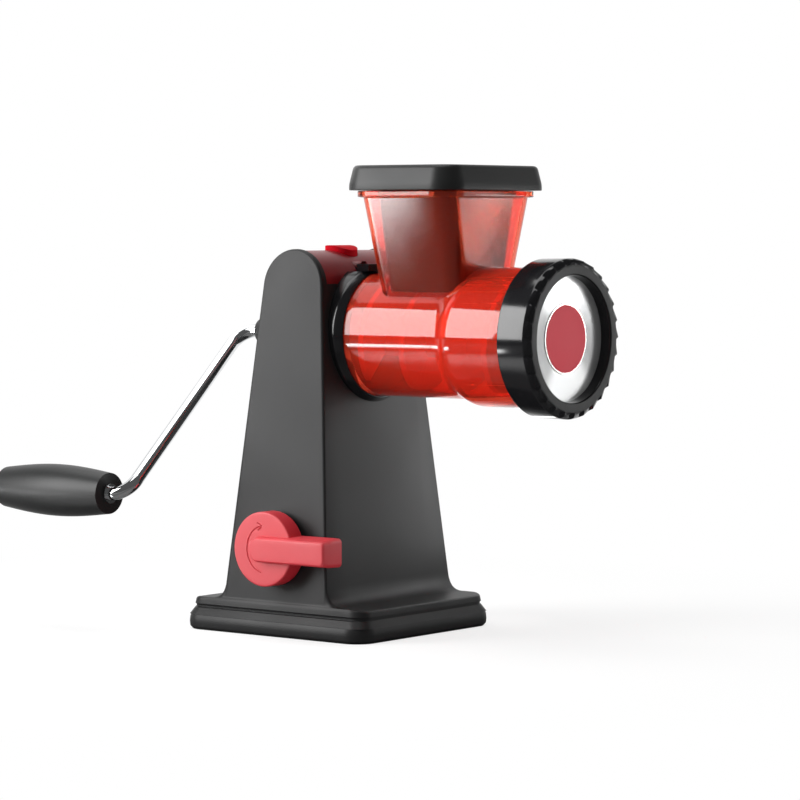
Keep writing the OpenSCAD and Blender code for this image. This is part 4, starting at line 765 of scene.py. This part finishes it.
# Seen straight or through a clear piece the floor turns white further out, and in a polished piece it
# is white behind the object. A polished ring round the foot and a bright card show in gloss alone.
bright = plus(tree, ramp(tree, out_by, FLOOR_NEAR, FLOOR_FAR), FLOOR_SHADE, 1 - FLOOR_SHADE)
backdrop = times(tree, in_gloss, ramp(tree, along(tree, spot, BACKWARD), *BACK_RISE))
is_white = most(tree, times(tree, most(tree, in_view, in_glass), bright), backdrop)
tone = plus(tree, in_view, FLOOR_SEEN, plus(tree, in_gloss, FLOOR_MIRRORED, FLOOR_TONE))
matt = put(tree, "ShaderNodeBsdfDiffuse", (("Color", tone),)).outputs[0]
gloss = put(tree, "ShaderNodeBsdfGlossy", (
    ("Color", (POLISH_TONE, POLISH_TONE, POLISH_TONE, 1)), ("Roughness", POLISH_ROUGHNESS))).outputs[0]
polish = times(tree, in_gloss, POLISH, ramp(tree, out_by, *POLISH_RISE), ramp(tree, out_by, *POLISH_FALL))
card = put(tree, "ShaderNodeEmission", (("Color", WHITE), ("Strength", CARD_GLOW))).outputs[0]
card_y, card_x = along(tree, spot, CARD_OUT), along(tree, spot, CARD_ASIDE)
on_card = times(tree, in_gloss, ramp(tree, card_y, *CARD_RISE), ramp(tree, card_y, *CARD_FALL),
                ramp(tree, card_x, *CARD_END))
white = put(tree, "ShaderNodeEmission", (("Color", WHITE), ("Strength", 1.0))).outputs[0]
table = laid_over(tree, on_card, laid_over(tree, polish, matt, gloss), card)
tree.links.new(laid_over(tree, is_white, table, white), tree.nodes["Material Output"].inputs["Surface"])
floor_mesh.materials.append(pale)

# The sky is white where it is seen, and an even grey as light; gloss shows it dark but for a low white
# screen behind the object.
scene = bpy.context.scene
scene.view_settings.view_transform = "Standard"
scene.world = bpy.data.worlds.new("studio")
scene.world.use_nodes = True
tree = scene.world.node_tree
sky = tree.nodes["Background"]
sky.inputs["Color"].default_value = WHITE
rays = put(tree, "ShaderNodeLightPath").outputs
heading = put(tree, "ShaderNodeTexCoord").outputs["Generated"]
height = put(tree, "ShaderNodeSeparateXYZ", ((0, heading),)).outputs["Z"]
screen = times(tree, ramp(tree, along(tree, heading, SKY_WAY), *SKY_RISE), ramp(tree, height, *SKY_FALL))
screen = plus(tree, screen, 1.0 - DARK_SIDE, DARK_SIDE)
in_view, in_glass, in_gloss = rays["Is Camera Ray"], rays["Is Transmission Ray"], rays["Is Glossy Ray"]
shiny = put(tree, "ShaderNodeMix", (("Factor", in_gloss), ("A", AMBIENT), ("B", screen))).outputs[0]
clear = most(tree, in_view, in_glass)
strength = put(tree, "ShaderNodeMix", (("Factor", clear), ("A", shiny), ("B", 1.0))).outputs[0]
tree.links.new(strength, sky.inputs["Strength"])


def soft_box(name, place, aim, wide, high, glow):
    """A rectangular lamp at a place, turned to face a point, whose power is its glow times its area
    and pi; the camera doesn't see it."""
    lamp = bpy.data.lights.new(name, "AREA")
    lamp.shape, lamp.size, lamp.size_y, lamp.energy = "RECTANGLE", wide, high, glow * wide * high * math.pi
    box = bpy.data.objects.new(name, lamp)
    box.location = place
    away = np.subtract(place, aim)
    box.rotation_euler = (math.atan2(math.hypot(away[0], away[1]), away[2]), 0, math.atan2(away[0], -away[1]))
    box.visible_camera = False
    bpy.context.scene.collection.objects.link(box)


# The left and the top box are the main light; the small ones light the tower's far edge, the rod, the
# disc and the hopper's right, and the last one the back.
soft_box("left_box", (-0.62, -0.78, 0.50), (0.03, 0.0, 0.16), 0.46, 0.75, 10.5)
soft_box("top_box", (-0.15, -0.10, 1.30), (0.0, 0.0, 0.15), 0.8, 0.8, 3.3)
soft_box("edge_box", (0.058, 0.080, 0.115), (0.03, 0.03, 0.105), 0.02, 0.15, 4.5)
soft_box("rod_box", (-0.20, -0.02, 0.36), (-0.06, -0.05, 0.13), 0.22, 0.22, 1.4)
soft_box("disc_box", (0.608, 0.590, 0.20), (0.145, 0.0, 0.15), 0.14, 0.46, 1.5)
soft_box("right_card", (0.528, 0.588, 0.178), (0.099, 0.0, 0.21), 0.08, 0.05, 16.0)
soft_box("back_box", (1.05, 1.25, 0.80), (0.03, 0.0, 0.12), 0.9, 0.7, 0.4)

camera = bpy.data.objects.new("camera", bpy.data.cameras.new("camera"))
camera.data.sensor_width, camera.data.lens, camera.data.clip_end = CAMERA_SENSOR, CAMERA_LENS, CAMERA_REACH
camera.location = CAMERA_AT
camera.rotation_euler = (math.radians(90 - CAMERA_DOWN), 0, math.radians(CAMERA_ROUND))
scene.collection.objects.link(camera)
scene.camera = camera
